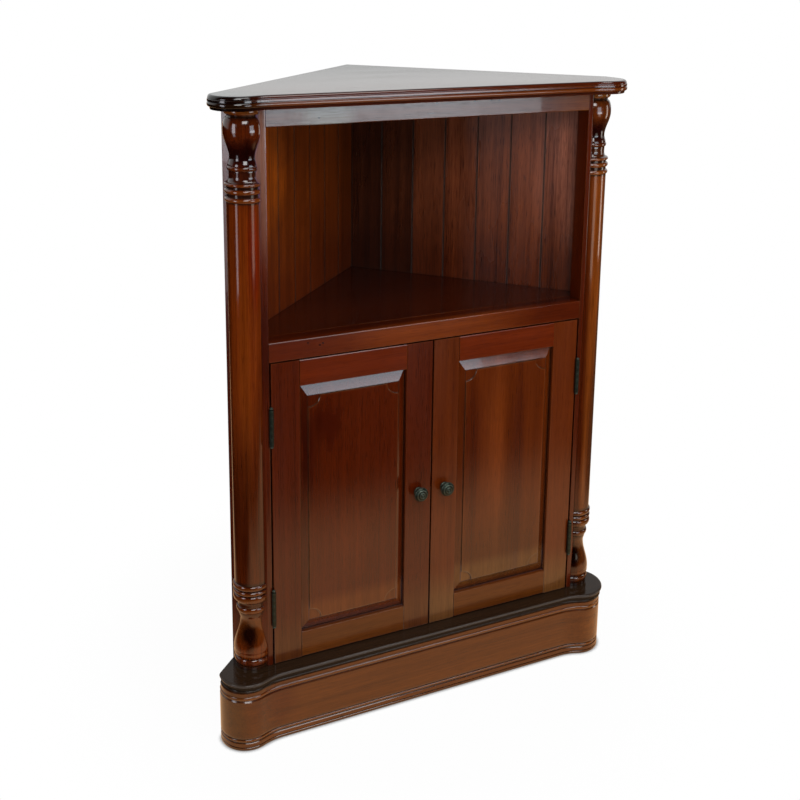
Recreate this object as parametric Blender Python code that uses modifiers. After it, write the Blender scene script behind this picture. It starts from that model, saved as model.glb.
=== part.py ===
"""Corner cabinet: an open compartment over a two-door cupboard, on a serpentine plinth.

Metres, +Z up. In the cabinet's own frame x runs to the right, y runs back from the plane of
the door faces and z runs up from the floor. The cabinet stands in a right-angled corner, so
its two plank walls lie at 45 degrees to the doors. An empty moves that frame back, so that
the origin is the bottom centre of the bounding box.
"""
import math

import bmesh
import bpy
from mathutils import Euler, Matrix

# Clearance between pieces that touch
FIT = 0.0003
# How far a cutter or a hidden overlap reaches past the face that it works on
OVERRUN = 0.001
# Distances under which points are welded
SEAM_WELD = 0.000001
POLE_WELD = 0.00001

# Carcass, in plan
OPENING_W = 0.600
POST_STRIP_W = 0.0085
POST_FACET_MARGIN = 0.00105
POST_T = 0.030
WALL_T = 0.018
PLANKS_PER_WALL = 7
PLANK_TONGUE_T = 0.006
PLANK_TONGUE_L = 0.006
PLANK_TONGUE_SPACE = 0.0008
PLANK_CHAMFER = 0.0012

# Carcass, heights from the floor up
SKIRT_H = 0.108
CAP_T = 0.016
CUPBOARD_H = 0.5525
SHELF_EDGE_H = 0.0335
COMPARTMENT_H = 0.354
TOP_RAIL_H = 0.031
TOP_T = 0.023

# Boards inside the carcass
TOP_RAIL_T = 0.020
SHELF_EDGE_T = 0.0355
SHELF_T = 0.018
CLEAT_W = 0.018
CLEAT_H = 0.018
ARRIS_R = 0.0015
ARRIS_STEPS = 3

# Serpentine edges: the lobes stand over the columns and share one centre. On the real cabinet
# the three serpentine boards sit a little to the left of the opening's middle.
LOBE_SHIFT_X = 0.004
LOBE_SHIFT_Y = 0.015
BOARDS_SHIFT_X = -0.0065
CAP_OVERHANG = 0.0285
CAP_LOBE_R = 0.049
CAP_SWEEP_R = 0.100
TOP_OVERHANG = 0.0295
TOP_LOBE_R = 0.0455
TOP_SWEEP_R = 0.100
SWEEP_STEPS = 4
LOBE_STEPS = 12
MOULD_STEPS = 4

# Top board's edge, from the underside up: insets are measured from the bead's crest
TOP_FILLET_H = 0.0048
TOP_FILLET_INSET = 0.0048
TOP_FILLET_TOP_INSET = 0.0036
TOP_BEAD_H = 0.0080
TOP_BEAD_DEPTH = 0.0020
TOP_BAND_H = 0.0046
TOP_BAND_INSET = 0.0004
TOP_QUIRK_DEPTH = 0.0012
TOP_OVOLO_INSET = 0.0012
TOP_ARRIS_INSET = 0.0058

# Cap of the plinth, from the underside up
CAP_FILLET_H = 0.0020
CAP_FILLET_INSET = 0.0028
CAP_COVE_H = 0.0078
CAP_COVE_DEPTH = 0.0016
CAP_BEAD_DEPTH = 0.0030

# Skirt of the plinth, from the floor up: beads and bands are cut into one face
SKIRT_OVERHANG = 0.0283
SKIRT_LOBE_R = 0.0455
SKIRT_SHIFT_X = -0.0033
SKIRT_SHIFT_Y = 0.0030
BASE_H = 0.0040
BASE_GROOVE_H = 0.0025
BASE_BAND_H = 0.0060
BASE_QUIRK_H = 0.0025
BASE_BEAD_H = 0.0050
BASE_GROOVE_DEPTH = 0.0018
SKIRT_BEAD_H = 0.0070
SKIRT_BEAD_DEPTH = 0.0022
SKIRT_QUIRK_H = 0.0025
SKIRT_FILLET_H = 0.0070
SKIRT_FILLET_DEPTH = 0.0012
PLINTH_FRONT_T = 0.022

# Turned columns: heights from the top board down to the shaft, then from the cap up
COLLAR_H = 0.0104
COLLAR_R = 0.0318
COLLAR_NECK_R = 0.0280
UPPER_QUIRK_H = 0.0045
UPPER_QUIRK_R = 0.0268
BULB_SHOULDER_H = 0.0215
BULB_R = 0.0336
BULB_TAPER_H = 0.0430
NECK_R = 0.0239
FLARE_H = 0.0122
FLARE_R = 0.0264
ASTRAGAL_H = 0.0080
ASTRAGAL_R = 0.0279
ASTRAGAL_NECK_R = 0.0252
BELL_H = 0.0186
BELL_R = 0.0250
BELL_FOOT_R = 0.0300
RING_NECK_R = 0.0292
RING_R = 0.0326
UPPER_RINGS_H = (0.0060, 0.0085, 0.0082)
UPPER_RING_GAPS_H = (0.0037, 0.0051)
SHAFT_R = 0.0299
LOWER_RINGS_H = (0.0098, 0.0080, 0.0132)
LOWER_RING_GAPS_H = (0.0010, 0.0010)
LOWER_BELL_H = 0.0113
LOWER_ASTRAGAL_H = 0.0105
LOWER_NECK_H = 0.0160
LOWER_NECK_R = 0.0222
PEAR_H = 0.0560
PEAR_R = 0.0328
PEAR_FOOT_H = 0.0120
PEAR_FOOT_R = 0.0282
TORUS_H = 0.0135
TORUS_R = 0.0326
BASE_COLLAR_R = 0.0310
BASE_COLLAR_H = 0.0057
COLUMN_SINK = 0.0075
COLUMN_SHIFT = 0.0012
COLUMN_SEGMENTS = 24
TURNING_STEPS = 4

# Doors
DOOR_SIDE_GAP = 0.0028
DOOR_MEETING_GAP = 0.0025
DOOR_END_GAP = 0.0020
DOOR_T = 0.020
STILE_W = 0.0500
DOOR_TOP_RAIL_H = 0.0457
DOOR_BOTTOM_RAIL_H = 0.0473
PANEL_GROOVE_FRONT = 0.0090
PANEL_GROOVE_W = 0.0060
PANEL_GROOVE_DEPTH = 0.0090
PANEL_TONGUE_L = 0.0080
RAIL_TENON_SHOULDER = 0.0060
PANEL_FIELD_DEPTH = 0.0015
PANEL_STEP = 0.0020
PANEL_STEP_LEDGE = 0.0006
PANEL_SIDE_MARGIN = 0.0145
PANEL_TOP_MARGIN = 0.0200
PANEL_BOTTOM_MARGIN = 0.0190
PANEL_NOTCH_W = 0.0210
PANEL_NOTCH_H = 0.0200
PANEL_NOTCH_STEPS = 6

# Hinges
HINGE_L = 0.0635
HINGE_KNUCKLES = 5
HINGE_BARREL_R = 0.00375
HINGE_BORE_R = 0.0019
HINGE_PIN_R = 0.0016
HINGE_LEAF_T = 0.0009
HINGE_LEAF_W = 0.0165
HINGE_TAB_START = 0.0026
FINIAL_R = 0.0032
FINIAL_H = 0.0042
HINGE_SEGMENTS = 12
UPPER_HINGE_DROP = 0.1095
LOWER_HINGE_RISE = 0.1075

# Knobs, along their own axis from the door face outwards
KNOB_X = 0.0260
KNOB_DROP = 0.00525
KNOB_ROSE_R = 0.0085
KNOB_ROSE_T = 0.0020
KNOB_NECK_R = 0.0048
KNOB_NECK_L = 0.0085
KNOB_HEAD_R = 0.0130
KNOB_SHOULDER_R = 0.0118
KNOB_RIM_T = 0.0046
KNOB_DOME_H = 0.0050
KNOB_BUTTON_R = 0.0042
KNOB_BUTTON_H = 0.0014
KNOB_SEGMENTS = 24
KNOB_BORE_L = 0.0120
KNOB_SCREW_R = 0.0020
KNOB_SCREW_HEAD_R = 0.0040
KNOB_SCREW_HEAD_T = 0.0024
KNOB_SCREW_REACH = 0.0105
SCREW_SEGMENTS = 12

# Catch
CATCH_W = 0.046
CATCH_T = 0.012
CATCH_H = 0.014
STRIKE_W = 0.018
STRIKE_H = 0.012
STRIKE_T = 0.0012
STRIKE_INSET = 0.003
STRIKE_DROP = 0.003

# Places worked out from the sizes above
DIAGONAL = math.sqrt(2)
HALF_OPENING = OPENING_W / 2
POST_EDGE_X = HALF_OPENING + POST_STRIP_W
POST_FACET_W = 2 * (BULB_R + POST_FACET_MARGIN)
FACET_RUN = POST_FACET_W / DIAGONAL
WALL_OUTER = POST_EDGE_X + 2 * FACET_RUN
WALL_INNER = WALL_OUTER - WALL_T * DIAGONAL
POST_BACK = POST_EDGE_X - POST_T * DIAGONAL
COLUMN_X = POST_EDGE_X + FACET_RUN / 2
COLUMN_Y = FACET_RUN / 2
LOBE_X = COLUMN_X + LOBE_SHIFT_X
LOBE_Y = COLUMN_Y - LOBE_SHIFT_Y
FRONT_REACH = CAP_LOBE_R - LOBE_Y
MID_DEPTH = (WALL_OUTER - FRONT_REACH) / 2

# Each edge is its overhang, the radius of its lobes and of its sweeps, and how far its lobes
# sit to the right and to the front
TOP_EDGE = (TOP_OVERHANG, TOP_LOBE_R, TOP_SWEEP_R, BOARDS_SHIFT_X, 0.0)
CAP_EDGE = (CAP_OVERHANG, CAP_LOBE_R, CAP_SWEEP_R, BOARDS_SHIFT_X, 0.0)
SKIRT_X = BOARDS_SHIFT_X + SKIRT_SHIFT_X
SKIRT_EDGE = (SKIRT_OVERHANG, SKIRT_LOBE_R, CAP_SWEEP_R, SKIRT_X, SKIRT_SHIFT_Y)

FLOOR_Z = SKIRT_H + CAP_T
SHELF_EDGE_Z = FLOOR_Z + CUPBOARD_H
SHELF_Z = SHELF_EDGE_Z + SHELF_EDGE_H
TOP_RAIL_Z = SHELF_Z + COMPARTMENT_H
TOP_Z = TOP_RAIL_Z + TOP_RAIL_H

DOOR_Z0 = FLOOR_Z + DOOR_END_GAP
DOOR_Z1 = SHELF_EDGE_Z - DOOR_END_GAP
DOOR_OUTER_X = HALF_OPENING - DOOR_SIDE_GAP
DOOR_INNER_X = DOOR_MEETING_GAP / 2
HINGE_X = HALF_OPENING - DOOR_SIDE_GAP / 2
HINGE_Y = -(HINGE_BARREL_R + FIT)
UPPER_HINGE_Z = DOOR_Z1 - UPPER_HINGE_DROP
LOWER_HINGE_Z = DOOR_Z0 + LOWER_HINGE_RISE
KNOB_Z = (DOOR_Z0 + DOOR_Z1) / 2 - KNOB_DROP
LOWER_FOOT_H = BASE_COLLAR_H + TORUS_H + PEAR_FOOT_H + PEAR_H
LOWER_WAIST_H = LOWER_NECK_H + LOWER_ASTRAGAL_H + LOWER_BELL_H
LOWER_BEADS_H = sum(LOWER_RINGS_H) + sum(LOWER_RING_GAPS_H)
LOWER_RINGS_TOP = FLOOR_Z + LOWER_FOOT_H + LOWER_WAIST_H + LOWER_BEADS_H

# Colours, as linear red, green and blue
MAHOGANY = (0.155, 0.050, 0.022)
GOLDEN_PLANK = (0.230, 0.095, 0.030)
DARK_PLANK = (0.125, 0.062, 0.050)
DARK_WALNUT = (0.050, 0.030, 0.020)
SKIRT_BROWN = (0.220, 0.115, 0.050)
PLAIN_DEAL = (0.330, 0.200, 0.100)
DARK_BRONZE = (0.065, 0.070, 0.055)
BRIGHT_STEEL = (0.420, 0.420, 0.430)


def clear_scene():
    """Removes what a new file starts with."""
    for item in list(bpy.data.objects):
        bpy.data.objects.remove(item)


def collection(name):
    """A new collection of the scene."""
    group = bpy.data.collections.new(name)
    bpy.context.scene.collection.children.link(group)
    return group


def material(name, colour, roughness, metallic=0.0):
    """A plain surface of one colour."""
    surface = bpy.data.materials.new(name)
    surface.use_nodes = True
    shader = surface.node_tree.nodes["Principled BSDF"]
    shader.inputs["Base Color"].default_value = (*colour, 1.0)
    shader.inputs["Roughness"].default_value = roughness
    shader.inputs["Metallic"].default_value = metallic
    surface.diffuse_color = (*colour, 1.0)
    return surface


clear_scene()
CABINET = collection("corner_cabinet")
CUTTERS = collection("cutters")

# The frame's empties: the cabinet's own, then one on each door's hinge axis
ROOT = bpy.data.objects.new("cabinet_frame", None)
ROOT.location = (-BOARDS_SHIFT_X, -MID_DEPTH, 0.0)
CABINET.objects.link(ROOT)


def hinge_empty(name, side):
    """An empty on the axis of the door on one side, +1 on the right and -1 on the left."""
    empty = bpy.data.objects.new(name, None)
    empty.parent = ROOT
    empty.location = (side * HINGE_X, HINGE_Y, 0.0)
    CABINET.objects.link(empty)
    return empty


def piece(name, data, surface, parent=ROOT, location=(0.0, 0.0, 0.0), rotation=(0.0, 0.0, 0.0)):
    """A named piece of the cabinet from a mesh or a curve."""
    item = bpy.data.objects.new(name, data)
    if not data.materials:
        data.materials.append(surface)
    item.parent = parent
    item.location = location
    item.rotation_euler = rotation
    CABINET.objects.link(item)
    return item


def helper(name, data, location=(0.0, 0.0, 0.0), rotation=(0.0, 0.0, 0.0)):
    """A cutter or an added body, which isn't a piece of its own."""
    item = bpy.data.objects.new(name, data)
    item.location = location
    item.rotation_euler = rotation
    item.hide_render = True
    item.display_type = "WIRE"
    CUTTERS.objects.link(item)
    return item


def combine(item, other, operation):
    """Cuts the other body from a piece, or joins it on."""
    modifier = item.modifiers.new(other.name, "BOOLEAN")
    modifier.operation = operation
    modifier.solver = "EXACT"
    modifier.object = other
    return modifier


def shade(mesh, angle=math.radians(35)):
    """Smooth shading on the round stretches of a mesh."""
    mesh.shade_smooth()
    mesh.set_sharp_from_angle(angle=angle)
    return mesh


def evaluated_mesh(name, item):
    """The mesh that an object shows, with its modifiers applied and its seams welded."""
    bpy.context.view_layer.update()
    graph = bpy.context.evaluated_depsgraph_get()
    mesh = bpy.data.meshes.new_from_object(item.evaluated_get(graph))
    mesh.name = name
    welded = bmesh.new()
    welded.from_mesh(mesh)
    bmesh.ops.remove_doubles(welded, verts=welded.verts, dist=SEAM_WELD)
    bmesh.ops.recalc_face_normals(welded, faces=welded.faces)
    welded.to_mesh(mesh)
    welded.free()
    return mesh


def flat_curve(name, outlines, thickness):
    """A flat outline, with any holes in it, given a thickness about its own plane."""
    curve = bpy.data.curves.new(name, "CURVE")
    curve.dimensions = "2D"
    curve.fill_mode = "BOTH"
    curve.extrude = thickness / 2
    for outline in outlines:
        spline = curve.splines.new("POLY")
        spline.points.add(len(outline) - 1)
        spline.use_cyclic_u = True
        for point, (x, y) in zip(spline.points, outline):
            point.co = (x, y, 0.0, 1.0)
    return curve


def board_mesh(name, outlines, thickness):
    """The mesh of a board cut to an outline, centred on its own plane."""
    curve = flat_curve(name, outlines, thickness)
    stencil = bpy.data.objects.new(name, curve)
    CUTTERS.objects.link(stencil)
    mesh = evaluated_mesh(name, stencil)
    bpy.data.objects.remove(stencil)
    bpy.data.curves.remove(curve)
    return mesh


def across(mesh, middle):
    """Turns a board that was drawn as a section, depth by height, to run along X."""
    turn = Euler((math.radians(90), 0.0, math.radians(90))).to_matrix().to_4x4()
    mesh.transform(Matrix.Translation((middle, 0.0, 0.0)) @ turn)
    return mesh


def block_mesh(name, low, high):
    """The mesh of a box between two corners."""
    mesh = bpy.data.meshes.new(name)
    block = bmesh.new()
    bmesh.ops.create_cube(block, size=1.0)
    for vert in block.verts:
        for axis in range(3):
            share = vert.co[axis] + 0.5
            vert.co[axis] = low[axis] + share * (high[axis] - low[axis])
    block.to_mesh(mesh)
    block.free()
    return mesh


def loft_mesh(name, rings):
    """The mesh of one solid through rings of points, each with the same count."""
    mesh = bpy.data.meshes.new(name)
    solid = bmesh.new()
    rows = [[solid.verts.new(point) for point in ring] for ring in rings]
    for lower, upper in zip(rows, rows[1:]):
        for i, corner in enumerate(lower):
            j = (i + 1) % len(lower)
            solid.faces.new((corner, lower[j], upper[j], upper[i]))
    solid.faces.new(rows[0][::-1])
    solid.faces.new(rows[-1])
    bmesh.ops.recalc_face_normals(solid, faces=solid.faces)
    solid.to_mesh(mesh)
    solid.free()
    return mesh


def turned_mesh(name, profile, segments):
    """The mesh of a turned solid about Z from a profile of (radius, height), top to bottom."""
    line = bpy.data.meshes.new(name + "_profile")
    outline = bmesh.new()
    corners = [outline.verts.new((radius, 0.0, height)) for radius, height in profile]
    for upper, lower in zip(corners, corners[1:]):
        outline.edges.new((upper, lower))
    outline.to_mesh(line)
    outline.free()
    lathe = bpy.data.objects.new(name + "_lathe", line)
    CUTTERS.objects.link(lathe)
    screw = lathe.modifiers.new("turn", "SCREW")
    screw.steps = segments
    screw.render_steps = segments
    screw.use_merge_vertices = True
    screw.merge_threshold = POLE_WELD
    mesh = evaluated_mesh(name, lathe)
    bpy.data.objects.remove(lathe)
    bpy.data.meshes.remove(line)
    return shade(mesh)


def cylinder_mesh(name, radius, length, segments):
    """The mesh of a cylinder about Z, centred."""
    mesh = bpy.data.meshes.new(name)
    rod = bmesh.new()
    bmesh.ops.create_cone(
        rod, cap_ends=True, segments=segments, radius1=radius, radius2=radius, depth=length
    )
    rod.to_mesh(mesh)
    rod.free()
    return mesh


def spread(start, end, steps):
    """Evenly spaced values from start to end, both included."""
    return [start + (end - start) * step / steps for step in range(steps + 1)]


def bulge(start, end, edge, crest, steps=MOULD_STEPS):
    """Half an ellipse as (value, height): it leaves edge at start, meets crest, and returns."""
    middle = (start + end) / 2
    half = (end - start) / 2
    points = []
    for angle in spread(-math.pi / 2, math.pi / 2, steps):
        value = edge + (crest - edge) * math.cos(angle)
        points.append((value, middle + half * math.sin(angle)))
    return points


def wall_point(inset, x):
    """A point at one x on the plane that lies inset into the cabinet from a wall's face."""
    return (x, WALL_INNER - inset * DIAGONAL - x)


def wall_and_post(wall_inset, post_inset):
    """Where a plane inset from the right wall's inner face meets one inset from its post."""
    total = WALL_INNER - wall_inset * DIAGONAL
    difference = POST_BACK - post_inset * DIAGONAL
    return ((total + difference) / 2, (total - difference) / 2)


def post_x(y, inset):
    """Where a plane inset from the right post's inner face has one y."""
    return POST_BACK - inset * DIAGONAL + y


def serpentine(side, overhang, lobe_r, sweep_r, shift_x, shift_y, inset):
    """One half of a serpentine edge, from the centre line to the wall's outer plane.

    Both halves are given with x positive, as seen from the centre line. A lobe that doesn't
    reach the wall's plane runs on to it along its tangent.
    """
    lobe_x = LOBE_X + side * shift_x
    lobe_y = LOBE_Y - shift_y
    front = inset - overhang
    radius = lobe_r - inset
    sweep = sweep_r + inset
    rise = lobe_y - front + sweep
    run = math.sqrt((radius + sweep) ** 2 - rise ** 2)
    turn = math.atan2(-rise, -run)
    points = [(0.0, front)]
    for angle in spread(math.pi / 2, turn + math.pi, SWEEP_STEPS):
        x = lobe_x - run + sweep * math.cos(angle)
        points.append((x, front - sweep + sweep * math.sin(angle)))
    reach = (WALL_OUTER - lobe_x - lobe_y) / DIAGONAL
    if reach > radius:
        tangent = math.pi / 4 - math.acos(radius / reach)
        lobe = [(angle, radius) for angle in spread(turn, tangent, LOBE_STEPS - 1)[1:]]
        lobe.append((math.pi / 4, reach))
    else:
        end = math.pi / 4 - math.acos(reach / radius)
        lobe = [(angle, radius) for angle in spread(turn, end, LOBE_STEPS)[1:]]
    for angle, distance in lobe:
        points.append((lobe_x + distance * math.cos(angle), lobe_y + distance * math.sin(angle)))
    return points


def both_halves(edge, inset, shared):
    """A plan outline: the edge's right half, the points that mirror, and its left half."""
    right = serpentine(1, *edge, inset)
    left = serpentine(-1, *edge, inset)
    back = shared + [(-x, y) for x, y in reversed(shared) if x > 0.0]
    return right + back + [(-x, y) for x, y in reversed(left[1:])]


def at_height(outline, height):
    """A plan outline as a ring of points at one height."""
    return [(x, y, height) for x, y in outline]


def upright(name, outline, bottom, top, surface, parent=ROOT):
    """A piece of constant plan between two heights."""
    mesh = board_mesh(name, [outline], top - bottom)
    return piece(name, mesh, surface, parent, (0.0, 0.0, (bottom + top) / 2))


# Top board, cap and plinth: moulded edges that follow the serpentine

def top_profile():
    """(inset, height) of the top board's edge, from its underside up."""
    bead_low = TOP_Z + TOP_FILLET_H
    band_low = bead_low + TOP_BEAD_H
    band_top = band_low + TOP_BAND_H
    top = TOP_Z + TOP_T
    ovolo = []
    for angle in spread(0.0, math.pi / 2, MOULD_STEPS):
        inset = TOP_ARRIS_INSET - (TOP_ARRIS_INSET - TOP_OVOLO_INSET) * math.cos(angle)
        ovolo.append((inset, band_top + (top - band_top) * math.sin(angle)))
    return [
        (TOP_FILLET_INSET, TOP_Z),
        (TOP_FILLET_TOP_INSET, bead_low),
        *bulge(bead_low, band_low, TOP_BEAD_DEPTH, 0.0),
        (TOP_BAND_INSET, band_low + FIT),
        (TOP_BAND_INSET, band_top - TOP_QUIRK_DEPTH),
        (TOP_BAND_INSET + TOP_QUIRK_DEPTH, band_top - FIT),
        *ovolo,
    ]


def cap_profile():
    """(inset, height) of the cap's edge, from its underside up."""
    cove_low = SKIRT_H + CAP_FILLET_H
    bead_low = cove_low + CAP_COVE_H
    cove = bulge(cove_low, bead_low, CAP_FILLET_INSET, CAP_FILLET_INSET + CAP_COVE_DEPTH)
    return [
        (CAP_FILLET_INSET, SKIRT_H),
        *cove[:-1],
        *bulge(bead_low, FLOOR_Z, CAP_BEAD_DEPTH, 0.0),
    ]


def skirt_profile():
    """(inset, height) of the skirt's front, from the floor up."""
    groove_low = BASE_H
    band_low = groove_low + BASE_GROOVE_H
    quirk_low = band_low + BASE_BAND_H
    bead_low = quirk_low + BASE_QUIRK_H
    bead_top = bead_low + BASE_BEAD_H
    upper_top = SKIRT_H - SKIRT_FILLET_H
    upper_low = upper_top - SKIRT_BEAD_H
    return [
        (0.0, 0.0),
        (0.0, groove_low),
        (BASE_GROOVE_DEPTH, (groove_low + band_low) / 2),
        (0.0, band_low),
        (0.0, quirk_low),
        (BASE_GROOVE_DEPTH, (quirk_low + bead_low) / 2),
        *bulge(bead_low, bead_top, BASE_GROOVE_DEPTH, 0.0),
        (0.0, bead_top + BASE_QUIRK_H),
        (0.0, upper_low - SKIRT_QUIRK_H),
        *bulge(upper_low, upper_top, SKIRT_BEAD_DEPTH, 0.0),
        (SKIRT_FILLET_DEPTH, upper_top + FIT),
        (SKIRT_FILLET_DEPTH, SKIRT_H - FIT),
    ]


def moulded_board(name, profile, edge, surface):
    """A board over the whole plan, with a moulded serpentine front."""
    rings = []
    for inset, height in profile:
        outline = both_halves(edge, inset, [(0.0, WALL_OUTER)])
        rings.append(at_height(outline, height))
    return piece(name, shade(loft_mesh(name, rings)), surface)


def plinth_front(surface):
    """The serpentine skirt: a front board with a solid block behind each lobe."""
    rings = []
    back_y = PLINTH_FRONT_T - SKIRT_OVERHANG
    corner = ((WALL_OUTER + POST_BACK) / 2, (WALL_OUTER - POST_BACK) / 2)
    for inset, height in skirt_profile():
        outline = both_halves(SKIRT_EDGE, inset, [corner, (post_x(back_y, 0.0), back_y)])
        rings.append(at_height(outline, height))
    return piece("plinth_front", shade(loft_mesh("plinth_front", rings)), surface)


def plinth_sides(surface):
    """Two boards along the walls, mitred at the back corner."""
    top = SKIRT_H - FIT
    for side, name in ((1, "plinth_right"), (-1, "plinth_left")):
        front = POST_BACK - FIT * DIAGONAL
        outline = [
            ((WALL_OUTER + front) / 2, (WALL_OUTER - front) / 2),
            (FIT, WALL_OUTER - FIT),
            (FIT, WALL_INNER - FIT),
            ((WALL_INNER + front) / 2, (WALL_INNER - front) / 2),
        ]
        upright(name, [(side * x, y) for x, y in outline], 0.0, top, surface)


# Posts, columns and walls

def posts(surface):
    """The canted boards that carry the columns, one either side of the opening."""
    wall_end = POST_EDGE_X + FACET_RUN
    inner_end = wall_and_post(-WALL_T, 0.0)
    outline = [
        (HALF_OPENING, 0.0),
        (POST_EDGE_X, 0.0),
        (wall_end, FACET_RUN),
        inner_end,
        (HALF_OPENING, HALF_OPENING - POST_BACK),
    ]
    for side, name in ((1, "right_post"), (-1, "left_post")):
        plan = [(side * x, y) for x, y in outline]
        upright(name, plan, FLOOR_Z + FIT, TOP_Z - FIT, surface)


def column_profile():
    """(radius, height) down one column, from the top board to the cap."""
    points = []
    height = TOP_Z - FIT
    points.append((0.0, height))

    def drop(fall, top_r, crest_r, bottom_r):
        """Adds a bead or a hollow of one height between two radii."""
        nonlocal height
        for radius, step in bulge(height, height - fall, 0.0, 1.0, TURNING_STEPS):
            share = (height - step) / fall
            edge = top_r + (bottom_r - top_r) * share
            points.append((edge + (crest_r - edge) * radius, step))
        height -= fall

    def slope(fall, top_r, bottom_r):
        """Adds an S-shaped run of one height between two radii."""
        nonlocal height
        for share in spread(0.0, 1.0, TURNING_STEPS)[1:]:
            ease = (1 - math.cos(math.pi * share)) / 2
            points.append((top_r + (bottom_r - top_r) * ease, height - fall * share))
        height -= fall

    def shoulder(fall, top_r, bottom_r):
        """Adds a quarter round that starts steep and ends upright."""
        nonlocal height
        for angle in spread(0.0, math.pi / 2, TURNING_STEPS)[1:]:
            radius = top_r + (bottom_r - top_r) * math.sin(angle)
            points.append((radius, height - fall * (1 - math.cos(angle))))
        height -= fall

    def rings(falls, gaps):
        """Adds a run of beads with quirks between them."""
        nonlocal height
        for index, fall in enumerate(falls):
            drop(fall, RING_NECK_R, RING_R, RING_NECK_R)
            if index < len(gaps):
                height -= gaps[index]

    drop(COLLAR_H, COLLAR_NECK_R, COLLAR_R, COLLAR_NECK_R)
    points.append((UPPER_QUIRK_R, height - UPPER_QUIRK_H / 2))
    height -= UPPER_QUIRK_H
    points.append((COLLAR_NECK_R, height))
    shoulder(BULB_SHOULDER_H, COLLAR_NECK_R, BULB_R)
    slope(BULB_TAPER_H, BULB_R, NECK_R)
    slope(FLARE_H, NECK_R, FLARE_R)
    drop(ASTRAGAL_H, ASTRAGAL_NECK_R, ASTRAGAL_R, ASTRAGAL_NECK_R)
    drop(BELL_H, ASTRAGAL_NECK_R, BELL_R, BELL_FOOT_R)
    rings(UPPER_RINGS_H, UPPER_RING_GAPS_H)
    points.append((SHAFT_R, height - FIT))
    points.append((SHAFT_R, LOWER_RINGS_TOP + FIT))
    height = LOWER_RINGS_TOP
    rings(LOWER_RINGS_H, LOWER_RING_GAPS_H)
    drop(LOWER_BELL_H, BELL_FOOT_R, BELL_R, ASTRAGAL_NECK_R)
    drop(LOWER_ASTRAGAL_H, ASTRAGAL_NECK_R, ASTRAGAL_R, ASTRAGAL_NECK_R)
    slope(LOWER_NECK_H, ASTRAGAL_NECK_R, LOWER_NECK_R)
    slope(PEAR_H, LOWER_NECK_R, PEAR_R)
    drop(PEAR_FOOT_H, PEAR_R, PEAR_R, PEAR_FOOT_R)
    drop(TORUS_H, PEAR_FOOT_R, TORUS_R, PEAR_FOOT_R)
    points.append((BASE_COLLAR_R, height - FIT))
    points.append((BASE_COLLAR_R, FLOOR_Z + FIT))
    points.append((0.0, FLOOR_Z + FIT))
    return points


def columns(surface):
    """Turned columns, each split behind its axis and planted on a post's canted face."""
    full = turned_mesh("column", column_profile(), COLUMN_SEGMENTS)
    reach = BULB_R + OVERRUN
    face = COLUMN_SINK + FIT
    low = (-reach, -reach, FLOOR_Z - OVERRUN)
    high = (face, reach, TOP_Z + OVERRUN)
    split = helper("column_split", block_mesh("column_split", low, high))
    lathe = helper("column_turning", full)
    combine(lathe, split, "DIFFERENCE")
    half = shade(evaluated_mesh("half_column", lathe))
    bpy.data.objects.remove(lathe)
    bpy.data.objects.remove(split)
    for side, name in ((1, "right_column"), (-1, "left_column")):
        facing = math.radians(-45) if side > 0 else math.radians(-135)
        sink = COLUMN_SINK / DIAGONAL
        shift = COLUMN_SHIFT / DIAGONAL
        place = (side * (COLUMN_X - sink - shift), COLUMN_Y + sink - shift, 0.0)
        piece(name, half, surface, ROOT, place, (0.0, 0.0, facing))


def plank_outline(start, end, tongue, groove, chamfers):
    """A wall plank's section: run is measured from the back corner, depth from its inner face."""
    mid = WALL_T / 2
    half = PLANK_TONGUE_T / 2
    first, last = start + FIT / 2, end - FIT / 2
    low_chamfer = PLANK_CHAMFER if chamfers[0] else FIT
    high_chamfer = PLANK_CHAMFER if chamfers[1] else FIT
    outline = [(first, WALL_T), (first, mid + half)]
    if tongue:
        outline.append((first - PLANK_TONGUE_L, mid + half))
        outline.append((first - PLANK_TONGUE_L, mid - half))
    outline += [(first, mid - half), (first, low_chamfer), (first + low_chamfer, 0.0)]
    outline += [(last - high_chamfer, 0.0), (last, high_chamfer)]
    if groove:
        inner = last - PLANK_TONGUE_L - PLANK_TONGUE_SPACE
        outline += [(last, mid - half - FIT), (inner, mid - half - FIT)]
        outline += [(inner, mid + half + FIT), (last, mid + half + FIT)]
    outline.append((last, WALL_T))
    return outline


def walls(surfaces):
    """Two walls of tongue-and-groove planks, the right one butted against the left one."""
    run = (WALL_INNER - wall_and_post(0.0, FIT)[1]) * DIAGONAL
    width = run / PLANKS_PER_WALL
    for side, name in ((1, "right_plank"), (-1, "left_plank")):
        for index in range(PLANKS_PER_WALL):
            number = index + 1
            start = index * width
            if index == 0:
                start = FIT if side > 0 else -WALL_T
            end = (index + 1) * width
            last = number == PLANKS_PER_WALL
            section = plank_outline(start, end, index > 0, not last, (index > 0, not last))
            outline = []
            for along, depth in section:
                x = (along + depth) / DIAGONAL
                y = WALL_INNER + (depth - along) / DIAGONAL
                outline.append((side * x, y))
            label = f"{name}_{number}"
            upright(label, outline, FLOOR_Z + FIT, TOP_Z - FIT, surfaces[side])


# Rail, shelf and cleats

def rounded_board(name, half_length, back, bottom, top, surface):
    """A board across the opening whose long front arrises are rounded."""
    section = [(back, bottom), (back, top)]
    for angle in spread(0.0, math.pi / 2, ARRIS_STEPS):
        y = ARRIS_R - ARRIS_R * math.sin(angle)
        section.append((y, top - ARRIS_R + ARRIS_R * math.cos(angle)))
    for angle in spread(0.0, math.pi / 2, ARRIS_STEPS):
        y = ARRIS_R - ARRIS_R * math.cos(angle)
        section.append((y, bottom + ARRIS_R - ARRIS_R * math.sin(angle)))
    mesh = across(board_mesh(name, [section], 2 * half_length), 0.0)
    return piece(name, shade(mesh), surface)


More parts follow.
